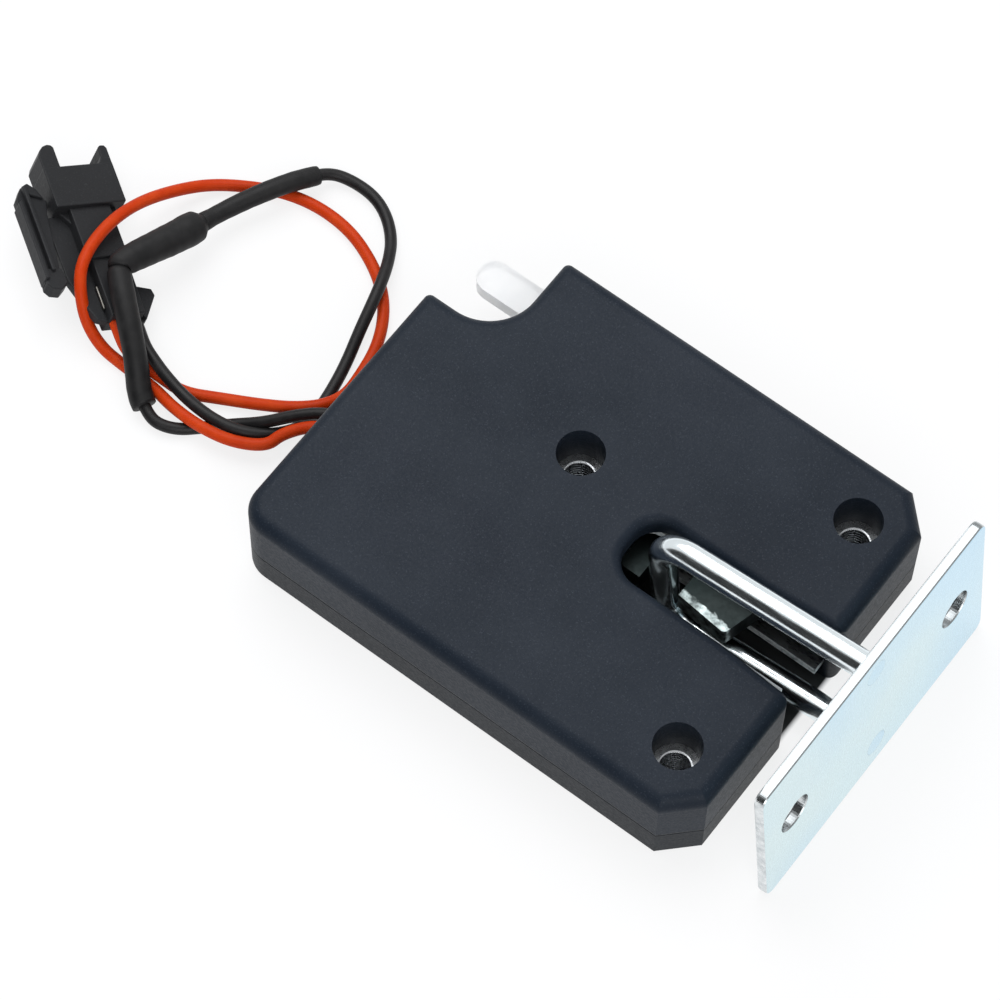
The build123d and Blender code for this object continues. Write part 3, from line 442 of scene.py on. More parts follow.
@dataclass(frozen=True)
class Winding:
    """Lacquered wire wound round the bobbin: fine rings along X, with painted shade in the grooves
    and a painted highlight on the tops of the turns.
    """

    name: str = "winding_wire"
    pitch: float = 0.00025
    # painted shade in the grooves between the turns
    between: Triple = (0.34, 0.11, 0.03)
    # painted highlight on the tops of the turns
    crest: Triple = (0.62, 0.26, 0.08)

    def make(self) -> Material:
        """Builds the material."""
        sheet = NodeSheet(self.name)
        rings = sheet.rings("X", self.pitch)
        # painted shade and highlight follow the rings of the relief
        base = sheet.blend(rings, self.between, self.crest)
        return sheet.finish(Base_Color=base, Metallic=0.85, Roughness=0.3,
                            Normal=sheet.relief(rings, 0.00008, 0.8))


def made(finish: object) -> Material:
    """A field that holds a finish's material, made together with the others."""
    return field(default_factory=finish.make)


@dataclass(frozen=True)
class Finishes:
    """Every finish of the lock, made once."""

    case: Material = made(MouldedPlastic(
        "case_plastic", (0.0060, 0.0103, 0.0177), (0.027, 0.034, 0.046), 0.45, seam=SEAM))
    case_low: Material = made(MouldedPlastic(
        "case_low_plastic", (0.0066, 0.0092, 0.0130), (0.021, 0.025, 0.031), 0.45, seam=SEAM))
    zinc: Material = made(KeeperZinc())
    rod: Material = made(PlatedSteel(
        "rod_zinc", (0.84, 0.92, 0.96), (0.90, 0.96, 0.98), 0.17, (0.06, 4, 4), 700.0,
        capped=KEEPER_ZINC))
    claw: Material = made(ClawSteel())
    # frame plates: cut edges painted near white, bare steel with a painted highlight
    plate: Material = made(PlatedSteel(
        "frame_steel", (0.26, 0.28, 0.29), (0.38, 0.40, 0.41), 0.3, (1, 6, 1), 800.0,
        cut=(0.90, 0.92, 0.92)))
    bush: Material = made(PlatedSteel(
        "bush_steel", (0.42, 0.44, 0.46), (0.54, 0.56, 0.58), 0.26, (1, 1, 0.2), 1200.0,
        pitch=0.0007))
    spring: Material = made(PlatedSteel(
        "spring_steel", (0.45, 0.46, 0.47), (0.55, 0.56, 0.57), 0.28))
    tab: Material = made(MilkyPlastic("tab_plastic"))
    bobbin: Material = made(MouldedPlastic(
        "bobbin_plastic", (0.62, 0.60, 0.55), (0.7, 0.69, 0.64), 0.4, 1800.0, 0.00003))
    winding: Material = made(Winding())
    red: Material = made(Insulation(
        "red_insulation", (0.49, 0.036, 0.003), (0.56, 0.056, 0.008), 0.4, 0.1))
    black: Material = made(Insulation(
        "black_insulation", (0.009, 0.0085, 0.009), (0.018, 0.0175, 0.018), 0.4))
    sleeve: Material = made(Insulation(
        "sleeve_rubber", (0.008, 0.008, 0.0085), (0.017, 0.0165, 0.017), 0.5))
    plug: Material = made(MouldedPlastic(
        "plug_plastic", (0.017, 0.0175, 0.019), (0.030, 0.031, 0.033), 0.42, 2200.0, 0.00004))
    tin: Material = made(PlatedSteel(
        "contact_tin", (0.10, 0.10, 0.09), (0.16, 0.15, 0.14), 0.4))


def dress(obj: bpy.types.Object, material: Material) -> None:
    """Gives an object one material in its only slot."""
    obj.data.materials.clear()
    obj.data.materials.append(material)


def add_mesh(name: str, points: np.ndarray, faces: np.ndarray | list,
             material: Material, smooth: bool = True) -> bpy.types.Object:
    """Puts arrays into a mesh object at the origin.

    Args:
        name: the piece's name.
        points: rows of x, y, z in metres.
        faces: rows of point numbers.
        material: its finish.
        smooth: whether faces shade smoothly.

    Returns:
        The linked object.
    """
    mesh = bpy.data.meshes.new(name)
    mesh.from_pydata(points.tolist(), [], faces if isinstance(faces, list) else faces.tolist())
    mesh.polygons.foreach_set("use_smooth", [smooth] * len(mesh.polygons))
    mesh.update()
    obj = bpy.data.objects.new(name, mesh)
    bpy.context.scene.collection.objects.link(obj)
    dress(obj, material)
    return obj


def grid_faces(rows: int, columns: int, wrap: bool) -> np.ndarray:
    """Quads of a grid of points, row by row.

    Args:
        rows: how many rows of points.
        columns: how many points in a row.
        wrap: whether the last point of a row joins its first.

    Returns:
        An array with four point numbers to a row.
    """
    across = columns if wrap else columns - 1
    row, column = np.meshgrid(np.arange(rows - 1), np.arange(across), indexing="ij")
    here = row * columns + column
    beside = row * columns + (column + 1) % columns
    return np.stack([here, beside, beside + columns, here + columns], -1).reshape(-1, 4)


def carried_circle(line: np.ndarray, radii: np.ndarray, sides: int) -> tuple[np.ndarray, list]:
    """Round tube of changing radius carried along a line.

    Each point is the line's point plus the radius times (cosine of v on one normal
    plus sine of v on the other). The normals are the first one projected square to
    each tangent in turn, so that the tube doesn't twist. Both ends close in a pole.

    Args:
        line: rows of x, y, z along the middle.
        radii: the radius at each row.
        sides: points round the tube.

    Returns:
        Its points and its faces.
    """
    tangent = np.gradient(line, axis=0)
    tangent /= np.linalg.norm(tangent, axis=1)[:, None]
    normal = np.zeros_like(line)
    ahead = np.cross(tangent[0], (0.0, 0.0, 1.0))
    for i, t in enumerate(tangent):
        ahead = ahead - t * (ahead @ t)
        ahead /= np.linalg.norm(ahead)
        normal[i] = ahead
    side = np.cross(tangent, normal)
    v = np.linspace(0, 2 * math.pi, sides, endpoint=False)
    cosine, sine = np.cos(v)[None, :, None], np.sin(v)[None, :, None]
    ring = normal[:, None, :] * cosine + side[:, None, :] * sine
    points = (line[:, None, :] + radii[:, None, None] * ring).reshape(-1, 3)
    faces = grid_faces(len(line), sides, True).tolist()
    first, last = len(points), len(points) + 1
    points = np.vstack([points, line[0], line[-1]])
    base = (len(line) - 1) * sides
    faces += [[first, (k + 1) % sides, k] for k in range(sides)]
    faces += [[last, base + k, base + (k + 1) % sides] for k in range(sides)]
    return points, faces


@dataclass
class Studio:
    """Camera at the photograph's angle, pale floor and soft lamps."""

    azimuth: float = 0.623126
    elevation: float = 1.121036
    roll: float = 0.0278957
    eye: Triple = (0.1381, -0.2125, 0.5423)
    lens: float = 157.203
    sensor: float = 36.0
    clip: tuple[float, float] = (0.01, 20.0)
    floor_half: float = 1.6
    shade_half: tuple[float, float] = (0.0368, 0.0284)
    shade_corner: float = 0.0604
    shade_fade: float = 0.0004
    notch_corner: tuple[float, float] = (-0.0250, 0.0135)
    floor_pale: Triple = (0.86, 0.86, 0.87)
    # colour of the painted shadow under the case
    floor_painted_shadow: Triple = (0.03, 0.03, 0.03)
    floor_glow: float = 0.8
    room_colour: Triple = (0.93, 0.96, 1.0)
    room_light: float = 0.55
    dark_side: Triple = (-0.374, -0.893, 0.251)
    dark_from: float = 0.70
    dark_full: float = 0.78
    dark_light: float = 0.03
    lamps: tuple = (
        ("key_lamp", (-0.35, 0.25, 0.75), 0.7, 5.5),
        ("fill_lamp", (0.45, -0.5, 0.55), 0.6, 3.0))

    def add_camera(self) -> None:
        """Sets the camera by its own axes: right, up and back, turned by the roll."""
        back = np.array([math.sin(self.azimuth) * math.cos(self.elevation),
                         -math.cos(self.azimuth) * math.cos(self.elevation),
                         math.sin(self.elevation)])
        right = np.cross(-back, (0.0, 0.0, 1.0))
        right /= np.linalg.norm(right)
        down = np.cross(-back, right)
        c, s = math.cos(self.roll), math.sin(self.roll)
        across, below = c * right - s * down, s * right + c * down
        place = np.eye(4)
        place[:3, 0], place[:3, 1], place[:3, 2], place[:3, 3] = across, -below, back, self.eye
        data = bpy.data.cameras.new("camera")
        data.lens, data.sensor_width = self.lens, self.sensor
        data.clip_start, data.clip_end = self.clip
        camera = bpy.data.objects.new("camera", data)
        bpy.context.scene.collection.objects.link(camera)
        camera.matrix_world = Matrix(place.tolist())
        bpy.context.scene.camera = camera

    def add_lamp(self, name: str, place: Triple, size: float, power: float) -> None:
        """Adds a square soft lamp that looks at the lock.

        Args:
            name: the lamp's name.
            place: where it hangs, in metres.
            size: the length of its side.
            power: its watts.
        """
        data = bpy.data.lights.new(name, "AREA")
        data.shape, data.size, data.energy = "SQUARE", size, power
        lamp = bpy.data.objects.new(name, data)
        bpy.context.scene.collection.objects.link(lamp)
        lamp.location = place
        lamp.rotation_euler = (-Vector(place)).to_track_quat("-Z", "Y").to_euler()

    def add_floor(self) -> None:
        """Adds a pale floor that stays white to the camera and keeps a faint shadow, with a painted
        shadow colour under the case.
        """
        sheet = NodeSheet("floor_white")
        outside_painted_shadow = self.open_floor(sheet)
        # painted shadow: the floor's colour goes dark under the case
        sheet.finish(Base_Color=sheet.blend(outside_painted_shadow, self.floor_painted_shadow, self.floor_pale),
                     Roughness=0.9, Specular_IOR_Level=0.0)
        rays = sheet.add("ShaderNodeLightPath")
        white = sheet.add("ShaderNodeEmission", Color=(1.0, 1.0, 1.0, 1.0), Strength=1.0)
        share = sheet.math("MAXIMUM", rays.outputs["Is Camera Ray"], sheet.math(
            "MAXIMUM", rays.outputs["Is Glossy Ray"], rays.outputs["Is Transmission Ray"]))
        glow = sheet.math("MULTIPLY", sheet.math("MULTIPLY", share, outside_painted_shadow), self.floor_glow)
        mixed = sheet.add("ShaderNodeMixShader", Fac=glow)
        sheet.put(mixed.inputs[1], sheet.shader.outputs[0])
        sheet.put(mixed.inputs[2], white.outputs[0])
        sheet.put(sheet.tree.nodes["Material Output"].inputs["Surface"], mixed.outputs[0])
        h = self.floor_half
        floor = add_mesh("floor", np.array([[-h, -h, 0], [h, -h, 0], [h, h, 0], [-h, h, 0]]),
                         [[0, 1, 2, 3]], sheet.material, False)

    def open_floor(self, sheet: NodeSheet) -> Socket:
        """How much the floor glows and how pale it is: under the case, where no light comes, it
        doesn't glow and takes a painted shadow colour.

        The value is the larger of two distances, past the case's sides and back from
        its notch, so it is below zero only under the case.
        """
        x, y = sheet.parts("X"), sheet.parts("Y")
        wide, deep = sheet.math("ABSOLUTE", x), sheet.math("ABSOLUTE", y)
        past = sheet.math("MAXIMUM", sheet.math("SUBTRACT", wide, self.shade_half[0]),
                          sheet.math("SUBTRACT", deep, self.shade_half[1]))
        past = sheet.math("MAXIMUM", past, sheet.math(
            "SUBTRACT", sheet.math("ADD", wide, deep), self.shade_corner))
        notch = sheet.math("MAXIMUM", sheet.math("SUBTRACT", x, self.notch_corner[0]),
                           sheet.math("SUBTRACT", self.notch_corner[1], y))
        value = sheet.math("MAXIMUM", past, sheet.math("MULTIPLY", notch, -1.0))
        return sheet.spread(value, -self.shade_fade, self.shade_fade, 0.0, 1.0)

    def add_world(self) -> None:
        """Surrounds the scene with even pale light, white to all but the matte surfaces.

        Shiny surfaces also see one dark side, low and in front, as in the photograph's room.
        """
        world = bpy.data.worlds.new("world")
        world.use_nodes = True
        bpy.context.scene.world = world
        tree = world.node_tree
        soft = tree.nodes["Background"]
        soft.inputs["Color"].default_value = (*self.room_colour, 1.0)
        soft.inputs["Strength"].default_value = self.room_light
        white = tree.nodes.new("ShaderNodeBackground")
        white.inputs["Strength"].default_value = 1.0
        rays = tree.nodes.new("ShaderNodeLightPath")
        seen = tree.nodes.new("ShaderNodeMath")
        seen.operation = "SUBTRACT"
        seen.inputs[0].default_value = 1.0
        tree.links.new(rays.outputs["Is Diffuse Ray"], seen.inputs[1])
        way = tree.nodes.new("ShaderNodeVectorMath")
        way.operation = "DOT_PRODUCT"
        tree.links.new(tree.nodes.new("ShaderNodeTexCoord").outputs["Generated"], way.inputs[0])
        way.inputs[1].default_value = self.dark_side
        dark = tree.nodes.new("ShaderNodeMapRange")
        for key, value in (("From Min", self.dark_from), ("From Max", self.dark_full),
                           ("To Min", 1.0), ("To Max", self.dark_light)):
            dark.inputs[key].default_value = value
        tree.links.new(way.outputs["Value"], dark.inputs["Value"])
        bright = tree.nodes.new("ShaderNodeMix")
        tree.links.new(rays.outputs["Is Glossy Ray"], bright.inputs[0])
        bright.inputs[2].default_value = 1.0
        tree.links.new(dark.outputs["Result"], bright.inputs[3])
        tree.links.new(bright.outputs[0], white.inputs["Strength"])
        mixed = tree.nodes.new("ShaderNodeMixShader")
        tree.links.new(seen.outputs[0], mixed.inputs[0])
        tree.links.new(soft.outputs[0], mixed.inputs[1])
        tree.links.new(white.outputs[0], mixed.inputs[2])
        tree.links.new(mixed.outputs[0], tree.nodes["World Output"].inputs["Surface"])

    def build(self) -> None:
        """Builds the whole studio."""
        self.add_camera()
        self.add_floor()
        self.add_world()
        for lamp in self.lamps:
            self.add_lamp(*lamp)
        bpy.context.scene.view_settings.view_transform = "Standard"


@dataclass
class LeadSet:
    """The two leads with their joint sleeves.

    They follow the routes of the solid leads, raised where they cross the plug and
    moved where they enter it, because the plug is turned and rolled here.
    """

    finishes: Finishes
    lead_radius: float = 0.88
    bevel_steps: int = 7
    curve_steps: int = 8
    curve_order: int = 3
    tube_sides: int = 28
    ripple_height: float = 0.012
    ripple_waves: tuple[float, float] = (41.0, 17.0)
    lift: float = 0.08
    red_length: float = 0.174
    black_length: float = 0.174
    red_route: tuple = (
        (4.4, -7.0, 5.60), (0.4, -7.1, 5.55), (-3.3, -8.5, 4.70), (-6.2, -11.6, 3.50),
        (-6.9, -14.0, 2.70), (-11.2, -16.4, 2.65), (-16.1, -17.3, 2.75), (-21.1, -17.0, 2.10),
        (-25.1, -15.9, 0.95), (-28.1, -15.7, 0.85), (-31.4, -15.6, 0.85), (-35.4, -15.4, 1.10),
        (-38.48, -14.69, 4.20), (-40.67, -12.89, 7.30), (-42.80, -10.13, 8.75),
        (-44.01, -5.73, 8.60), (-44.29, -0.74, 7.80), (-43.9, 4.5, 5.60), (-42.3, 9.8, 3.00),
        (-39.7, 14.3, 1.20),
        (-35.3, 17.5, 0.85), (-30.5, 19.9, 0.85), (-25.1, 21.0, 0.85), (-19.3, 20.6, 0.85),
        (-13.9, 18.5, 0.85), (-9.6, 15.6, 0.85), (-6.7, 12.0, 0.85), (-4.8, 7.8, 0.85),
        (-4.0, 3.2, 0.90), (-3.5, -0.6, 1.50), (-4.5, -4.1, 2.60), (-7.6, -7.0, 2.60),
        (-12.3, -9.1, 1.30), (-17.2, -11.4, 0.85), (-21.9, -13.9, 0.85), (-25.9, -13.9, 0.85),
        (-29.53, -14.31, 2.00), (-31.45, -14.53, 3.70), (-33.72, -13.31, 4.58),
        (-36.24, -11.67, 4.58))
    black_route: tuple = (
        (4.4, -5.0, 5.60), (0.4, -5.02, 5.60), (-3.2, -6.1, 5.00), (-6.5, -8.6, 4.00),
        (-9.5, -11.4, 2.65), (-13.5, -13.7, 0.90), (-16.4, -16.5, 0.85), (-18.8, -18.8, 0.95),
        (-21.3, -19.9, 1.20), (-23.2, -19.8, 1.55), (-26.2, -18.2, 2.15), (-28.4, -15.8, 5.20),
        (-31.7, -12.9, 6.90), (-34.9, -10.25, 8.00), (-37.5, -8.0, 8.30), (-38.8, -6.9, 8.40),
        (-38.6, -5.4, 8.20), (-37.4, -0.8, 6.80), (-36.3, 3.6, 5.30), (-34.7, 11.2, 3.30),
        (-32.3, 16.2, 3.60),
        (-30.2, 20.3, 3.40), (-28.9, 22.9, 2.60), (-27.5, 25.5, 1.80), (-25.3, 26.9, 1.20),
        (-20.9, 27.3, 0.85), (-17.2, 26.0, 0.85), (-13.9, 23.2, 0.85), (-11.7, 19.6, 1.70),
        (-10.1, 15.9, 2.75), (-9.0, 12.3, 2.75), (-8.1, 8.4, 1.90), (-6.8, 3.7, 0.85),
        (-5.8, -0.7, 0.85), (-5.3, -4.4, 0.85), (-5.4, -7.7, 0.90), (-6.7, -10.5, 1.50),
        (-8.9, -13.0, 2.20), (-12.1, -14.75, 2.65), (-16.1, -15.3, 2.70), (-20.5, -15.0, 2.75),
        (-24.82, -14.05, 2.90), (-27.92, -13.07, 3.20), (-29.90, -12.30, 3.38),
        (-32.11, -10.82, 3.38), (-34.62, -9.18, 3.38))
    sleeve_start: tuple = (-24.7, -19.0, 1.60)
    fold_start: tuple = (-38.4, -6.9, 8.35)
    thick_end: tuple = (-35.5, 7.4, 4.30)
    sleeve_end: tuple = (-28.2, 24.2, 2.20)
    low_shape: tuple = ((0, 1.75), (0.06, 1.8), (0.4, 1.68), (0.8, 1.75), (0.97, 1.7), (1, 1.3))
    thick_shape: tuple = (
        (0, 1.5), (0.04, 1.8), (0.15, 2.05), (0.5, 2.25), (0.84, 2.4), (0.93, 2.25), (1, 1.35))
    thin_shape: tuple = ((0, 1.4), (0.1, 1.3), (0.5, 1.4), (0.93, 1.45), (0.97, 1.45), (1, 1.35))

    def place(self, point: Triple) -> np.ndarray:
        """A point given from the rear face in millimetres, in metres in the part's frame."""
        return np.array([point[0] + REAR_FACE, point[1], point[2] + self.lift]) * MM

    def spline(self, name: str, route: tuple, radius: float) -> bpy.types.Object:
        """A smooth curve that has the route's points as its control points.

        Args:
            name: the curve's name.
            route: points from the rear face, in millimetres.
            radius: the bevel's radius in metres, 0 for a bare line.

        Returns:
            The curve object.
        """
        data = bpy.data.curves.new(name, "CURVE")
        data.dimensions = "3D"
        data.bevel_depth, data.bevel_resolution = radius, self.bevel_steps
        data.use_fill_caps, data.resolution_u = True, self.curve_steps
        line = data.splines.new("NURBS")
        line.points.add(len(route) - 1)
        line.points.foreach_set(
            "co", np.array([[*self.place(p), 1.0] for p in route], np.float32).ravel())
        line.order_u = self.curve_order
        line.use_endpoint_u = True
        obj = bpy.data.objects.new(name, data)
        bpy.context.scene.collection.objects.link(obj)
        return obj

    def line_points(self, route: tuple) -> np.ndarray:
        """Points along the route's own spline, in order."""
        bare = self.spline("bare_line", route, 0.0)
        bare.data.use_fill_caps = False
        mesh = bpy.data.meshes.new_from_object(bare)
        points = np.zeros(len(mesh.vertices) * 3)
        mesh.vertices.foreach_get("co", points)
        bpy.data.objects.remove(bare)
        bpy.data.meshes.remove(mesh)
        return points.reshape(-1, 3)

    def stretch_of(self, line: np.ndarray, first: tuple, last: tuple, count: int) -> np.ndarray:
        """The part of a line between the points nearest to two places, evenly spaced.

        Args:
            line: rows of x, y, z in metres.
            first: the place where the part begins, as in a route.
            last: the place where it ends.
            count: how many points it gets.

        Returns:
            Rows of x, y, z in metres.
        """
        ends = [int(np.argmin(np.linalg.norm(line - self.place(p), axis=1))) for p in (first, last)]
        part = line[ends[0]:ends[1] + 1]
        run = np.r_[0, np.cumsum(np.linalg.norm(np.diff(part, axis=0), axis=1))]
        even = np.linspace(0, run[-1], count)
        return np.stack([np.interp(even, run, part[:, k]) for k in range(3)], -1)

    def sleeve(self, name: str, node: str, line: np.ndarray, shape: tuple) -> bpy.types.Object:
        """A shrunk sleeve with faint ripples, in place of a node.

        Args:
            name: the piece's name.
            node: the node that it replaces.
            line: rows of x, y, z along its middle.
            shape: pairs of a share of its length and a radius in millimetres.

        Returns:
            The piece.
        """
        share = np.linspace(0, 1, len(line))
        radii = np.interp(share, [s for s, _ in shape], [r for _, r in shape]) * MM
        short, long = self.ripple_waves
        ripple = 1 + self.ripple_height * np.sin(share * short) * np.sin(share * long + 1.0)
        points, faces = carried_circle(line, radii * ripple, self.tube_sides)
        piece = add_mesh(name, points, faces, self.finishes.sleeve)
        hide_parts(node)
        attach(piece, Body.LOCK.value)
        return piece

    def build(self) -> dict[str, bpy.types.Object]:
        """Builds leads and sleeves.

        Returns:
            The pieces by name.
        """
        radius = self.lead_radius * MM
        red = self.spline("red_lead_cord", self.red_route, radius)
        dress(red, self.finishes.red)
        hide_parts("red_lead")
        black = self.spline("black_lead_cord", self.black_route, radius)
        dress(black, self.finishes.black)
        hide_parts("black_lead_short", "black_lead_long")
        line = self.line_points(self.black_route)
        low = self.stretch_of(line, self.sleeve_start, self.fold_start, 60)
        thick = self.stretch_of(line, self.fold_start, self.thick_end, 80)
        thin = self.stretch_of(line, self.thick_end, self.sleeve_end, 80)
        made = {
            "red": red, "black": black,
            "low": self.sleeve("sleeve_low_tube", "sleeve_low", low, self.low_shape),
            "thick": self.sleeve("sleeve_thick_tube", "sleeve_thick", thick, self.thick_shape),
            "thin": self.sleeve("sleeve_thin_tube", "sleeve_thin", thin, self.thin_shape)}
        for piece in (red, black):
            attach(piece, Body.LOCK.value)
        return made

    def declare(self, plug_pieces: list) -> None:
        """Computes the first point of each lead's route in the part's frame, and uses neither.

        Args:
            plug_pieces: the plug's housing and contacts; not used.
        """
        self.place(self.red_route[0])
        self.place(self.black_route[0])


@dataclass
class Plug:
    """Two-way plug: body, hood with horn and prong, rocker latch, fin and contacts.

    It lies on its right side, as the leads hold it. Outlines are drawn along the plug
    from the end where the leads go in, across it towards the latch, and up from its
    base, in millimetres.
    """

    finishes: Finishes
    origin: Triple = (-35.11, -12.69, 2.6)
    turn: float = 147.0
    roll: float = 22.0
    body_left: float = 2.4
    body_right: float = -3.8
    body_top: float = 4.5
    low_top: float = 4.0
    step: float = 9.4
    hood_start: float = 17.85
    hood_end: float = 24.55
    hood_left: float = 4.5
    hood_right: float = -6.15
    hood_top: float = 5.2
    hood_low: float = -0.25
    wall: float = 0.9
    soft_edge: float = 0.16

    def place(self, points: np.ndarray) -> np.ndarray:
        """Local rows of along, across and up, in metres in the part's frame."""
        t, f = math.radians(self.turn), math.radians(self.roll)
        along = np.array([math.cos(t), math.sin(t), 0.0])
        up = np.array([math.sin(t) * math.sin(f), -math.cos(t) * math.sin(f), math.cos(f)])
        across = np.cross(up, along)
        start = np.array([self.origin[0] + REAR_FACE, self.origin[1], self.origin[2]])
        return (start + np.asarray(points) @ np.stack([along, across, up])) * MM

    def prism(self, outline: list, low: float, high: float) -> tuple[np.ndarray, list]:
        """A closed prism over an outline.

        Args:
            outline: pairs of along and across.
            low: the height of its base.
            high: the height of its top.

        Returns:
            Its points and its faces.
        """
        flat, n = np.array(outline, float), len(outline)
        points = np.vstack([np.c_[flat, np.full(n, low)], np.c_[flat, np.full(n, high)]])
        faces = [list(range(n))[::-1], list(range(n, 2 * n))]
        faces += [[i, (i + 1) % n, n + (i + 1) % n, n + i] for i in range(n)]
        return points, faces

    def sleeve_box(self, box: tuple, inner: tuple, depth: float) -> tuple[np.ndarray, list]:
        """A box open at its far end.

        Args:
            box: its limits along, across and up.
            inner: the opening's limits across and up.
            depth: how far the opening reaches in.

        Returns:
            Its points and its faces.
        """
        (a0, a1, b0, b1, c0, c1), (p0, p1, q0, q1) = box, inner
        rows = [(a, b, c) for a, lo, hi, dn, tp in (
            (a0, b0, b1, c0, c1), (a1, b0, b1, c0, c1), (a1, p0, p1, q0, q1),
            (a1 - depth, p0, p1, q0, q1)) for b, c in ((lo, dn), (hi, dn), (hi, tp), (lo, tp))]
        faces = [[3, 2, 1, 0], [12, 13, 14, 15]]
        for k in range(3):
            faces += [[4 * k + i, 4 * k + (i + 1) % 4, 4 * k + 4 + (i + 1) % 4, 4 * k + 4 + i]
                      for i in range(4)]
        return np.array(rows, float), faces

    def body(self) -> list[tuple[np.ndarray, list]]:
        """The body round the contacts: its halves, flared sides, ledge and web to the latch."""
        left, right, step, hood = self.body_left, self.body_right, self.step, self.hood_start
        return [
            self.prism([(step, right), (hood + 1, right), (hood + 1, left), (step, left)],
                       0.0, self.body_top),
            self.prism([(13.2, right + 0.5), (13.6, right), (hood + 0.5, self.hood_right + 1.0),
                        (hood + 0.5, right + 0.5)], 0.3, 3.6),
            self.prism([(15.2, left - 0.5), (hood + 0.5, self.hood_left - 0.5),
                        (hood + 0.5, left - 0.5)], 0.2, 3.4),
            self.prism([(0, right + 0.3), (step + 0.3, right + 0.1), (step + 0.3, left - 0.8),
                        (0, left - 0.8)], 1.9, self.low_top),
            self.prism([(0, right + 0.3), (step, right), (step, left), (0, left - 0.4)], 0.0, 2.2),
            self.prism([(0.0, left - 0.6), (18.2, left - 0.4), (17.8, 5.6), (7.4, 5.5), (5.2, 4.8),
                        (2.5, 4.1), (0.6, left + 0.8)], 1.2, 2.5),
        ]

    def hood(self) -> list[tuple[np.ndarray, list]]:
        """The open hood with the horn on its left wall and the prong on its right one."""
        left, right, w = self.hood_left, self.hood_right, self.wall
        low, high = self.hood_low, self.hood_top
        return [
            self.sleeve_box((self.hood_start, self.hood_end, right, left, low, high),
                            (right + w, left - w, low + w, high - w), 6.0),
            self.prism([(21.0, 1.8), (27.9, 1.8), (28.3, 2.1), (28.45, 2.7), (28.2, 3.4),
                        (27.6, 4.0), (26.7, 4.45), (21.0, 4.45)], low + 0.1, high - 0.1),
            self.prism([(24.3, right + 0.02), (27.0, right + 0.02), (27.5, -5.85), (27.55, -5.2),
                        (27.2, -4.8), (25.7, -4.75), (24.9, -4.4), (24.3, -3.8)],
                       low + 0.1, high - 0.02),
        ]

    def fin(self) -> list[tuple[np.ndarray, list]]:
        """The fin on the right, beside the end where the leads go in."""
        return [self.prism([(0.2, -3.4), (-0.5, -3.9), (3.2, -6.35), (4.3, -6.15), (4.7, -4.9),
                            (5.2, -3.4)], 0.3, 3.0)]

    def latch(self) -> list[tuple[np.ndarray, list]]:
        """The rocker latch on the left: its bar, two ridges and thick ends."""
        return [
            self.prism([(6.9, 6.0), (8.8, 6.3), (18.4, 5.2), (20.3, 4.6), (22.2, 5.8), (23.3, 6.9),
                        (22.9, 7.9), (21.0, 9.1), (6.9, 9.15)], 1.5, 3.0),
            self.prism([(7.2, 8.55), (20.3, 8.65), (20.0, 9.25), (7.2, 9.2)], 1.3, 4.0),
            self.prism([(8.4, 7.3), (22.8, 7.35), (22.6, 7.95), (8.4, 7.9)], 2.6, 4.0),
            self.prism([(5.4, 7.2), (6.5, 5.95), (8.8, 6.3), (9.0, 8.8), (6.6, 9.1), (5.7, 8.5)],
                       1.1, 3.5),
            self.prism([(20.6, 5.2), (22.3, 5.9), (23.3, 6.9), (22.8, 7.9), (21.6, 7.6)], 1.6, 3.5),
        ]

    def contacts(self) -> list[tuple[np.ndarray, list]]:
        """The two contacts, and the tongue of one that shows in the window on the left."""
        tongue = self.prism([(1.8, 1.65), (5.6, 1.65), (5.6, 2.05), (1.8, 2.05)], 2.5, 3.1)
        blades = [self.prism([(1.4, middle - 0.75), (22.0, middle - 0.6), (22.0, middle + 0.6),
                              (1.4, middle + 0.75)], 1.0, 2.6) for middle in (0.55, -2.65)]
        return [tongue, *blades]

    def join(self, name: str, parts: list, material: Material,
             node: str) -> bpy.types.Object:
        """One piece out of several solids, with softened edges, in place of a node.

        Args:
            name: the piece's name.
            parts: points and faces of each solid.
            material: its finish.
            node: the node that it replaces.

        Returns:
            The piece.
        """
        points = self.place(np.vstack([corners for corners, _ in parts]))
        faces, first = [], 0
        for corners, sides in parts:
            faces += [[first + i for i in side] for side in sides]
            first += len(corners)
        piece = add_mesh(name, points, faces, material, False)
        soft = piece.modifiers.new("soft_edges", "BEVEL")
        soft.width, soft.segments, soft.limit_method = self.soft_edge * MM, 2, "ANGLE"
        soft.angle_limit = SHARP_ANGLE
        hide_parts(node)
        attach(piece, Body.LOCK.value)
        return piece

    def build(self) -> list[bpy.types.Object]:
        """Builds housing and contacts, and returns them."""
        housing = [*self.body(), *self.hood(), *self.fin(), *self.latch()]
        return [self.join("plug_shell", housing, self.finishes.plug, "plug_housing"),
                self.join("plug_metal", self.contacts(), self.finishes.tin, "plug_contacts")]


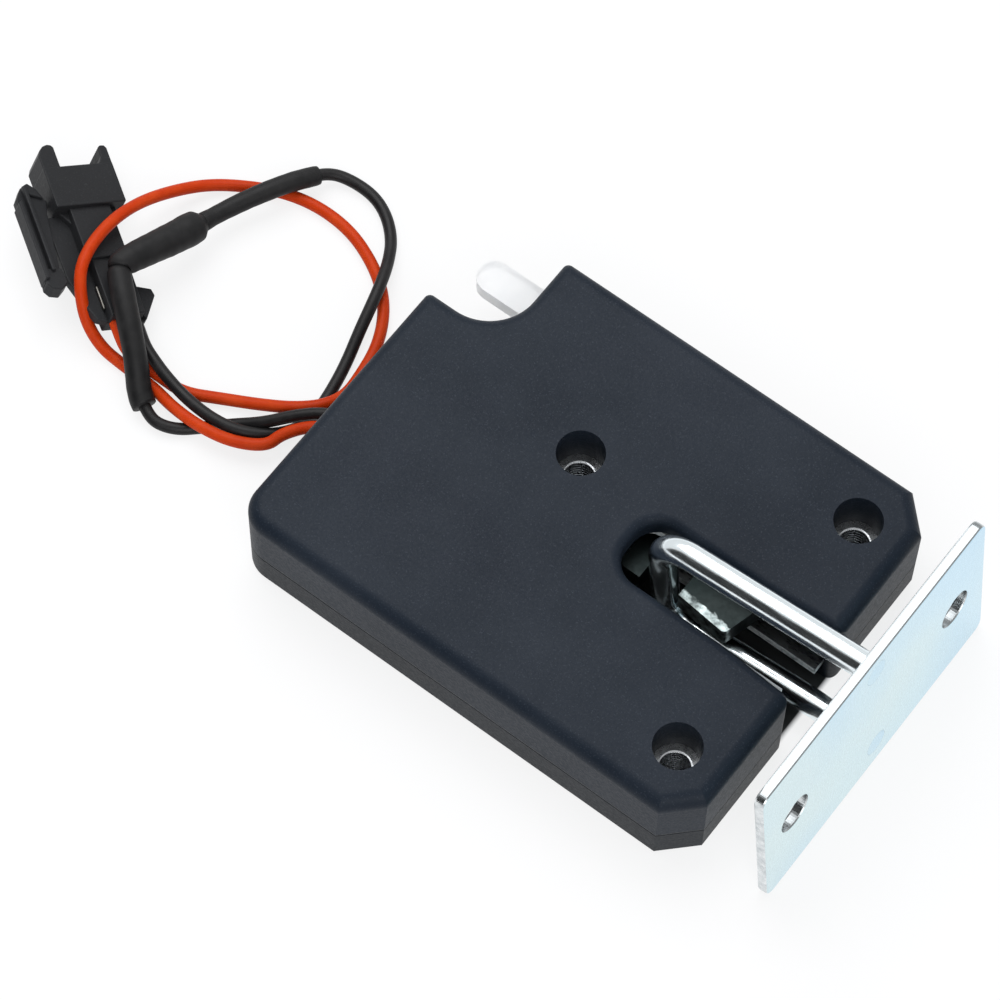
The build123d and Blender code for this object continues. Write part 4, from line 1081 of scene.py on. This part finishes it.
def softened(node: bpy.types.Object, material: Material, body: Body,
             width: float = 0.28, bores_within: float = 10.0,
             facet: float = 2.0) -> bpy.types.Object:
    """A merged copy of a node in its place, with its sharp edges rounded.

    The rims of the bores near its middle stay sharp, because the rod fills them.

    Args:
        node: the node to copy.
        material: its finish.
        body: the body that it rides on.
        width: how wide the rounding is, in millimetres.
        bores_within: how far from the middle, along Y, the sharp bores lie.
        facet: the length under which an edge there belongs to a bore's rim.

    Returns:
        The copy.
    """
    mesh = bpy.data.meshes.new(f"{node.name}_soft")
    work = bmesh.new()
    work.from_mesh(node.data)
    same, flat = 1e-6, math.radians(0.5)
    bmesh.ops.remove_doubles(work, verts=work.verts, dist=same)
    bmesh.ops.dissolve_limit(work, angle_limit=flat, verts=work.verts, edges=work.edges)
    weight = work.edges.layers.float.new("bevel_weight_edge")
    for edge in work.edges:
        middle = (edge.verts[0].co + edge.verts[1].co) / 2
        in_bore = abs(middle.y) < bores_within * MM and edge.calc_length() < facet * MM
        sharp = len(edge.link_faces) == 2 and edge.calc_face_angle() > SHARP_ANGLE
        edge[weight] = 1.0 if sharp and not in_bore else 0.0
    work.to_mesh(mesh)
    work.free()
    piece = bpy.data.objects.new(f"{node.name}_soft", mesh)
    bpy.context.scene.collection.objects.link(piece)
    mesh.polygons.foreach_set("use_smooth", [False] * len(mesh.polygons))
    dress(piece, material)
    edges = piece.modifiers.new("soft_edges", "BEVEL")
    edges.width, edges.segments, edges.limit_method = width * MM, 2, "WEIGHT"
    edges.use_clamp_overlap = False
    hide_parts(node.name)
    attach(piece, body.value)
    return piece


@dataclass
class Mechanism:
    """Finishes for case, keeper and the inner pieces that show through the slot."""

    finishes: Finishes

    def build(self, nodes: dict[str, bpy.types.Object]) -> None:
        """Dresses each node that no other piece replaces, and softens the keeper plate.

        Args:
            nodes: the frame's nodes by name.
        """
        f = self.finishes
        for names, finish in (
            (("frame_base_plate", "frame_cover_plate", "solenoid_yoke", "pawl", "pole_piece",
              "plunger"), f.plate),
            (("claw",), f.claw),
            (("mounting_bushes", "case_screws", "claw_pivot_pin", "pawl_pivot_pin",
              "pawl_drive_post"), f.bush),
            (("claw_spring", "plunger_spring"), f.spring),
            (("release_slider",), f.tab),
            (("coil_bobbin",), f.bobbin),
            (("coil_winding",), f.winding),
            (("keeper_loop",), f.rod),
            (("top_shell",), f.case),
            (("bottom_shell",), f.case_low),
        ):
            for name in names:
                dress(nodes[name], finish)
                log.info("dressed %s", name)
        softened(nodes["keeper_plate"], f.zinc, Body.KEEPER)


def main() -> None:
    """Builds the dressed lock in order, logging each node that it dresses."""
    logging.basicConfig(level=logging.INFO, format="%(name)s: %(message)s")
    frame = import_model()
    Studio().build()
    finishes = Finishes()
    leads = LeadSet(finishes)
    pieces = leads.build()
    Mechanism(finishes).build(frame["nodes"])
    leads.declare(Plug(finishes).build())


if __name__ == "__main__":
    main()
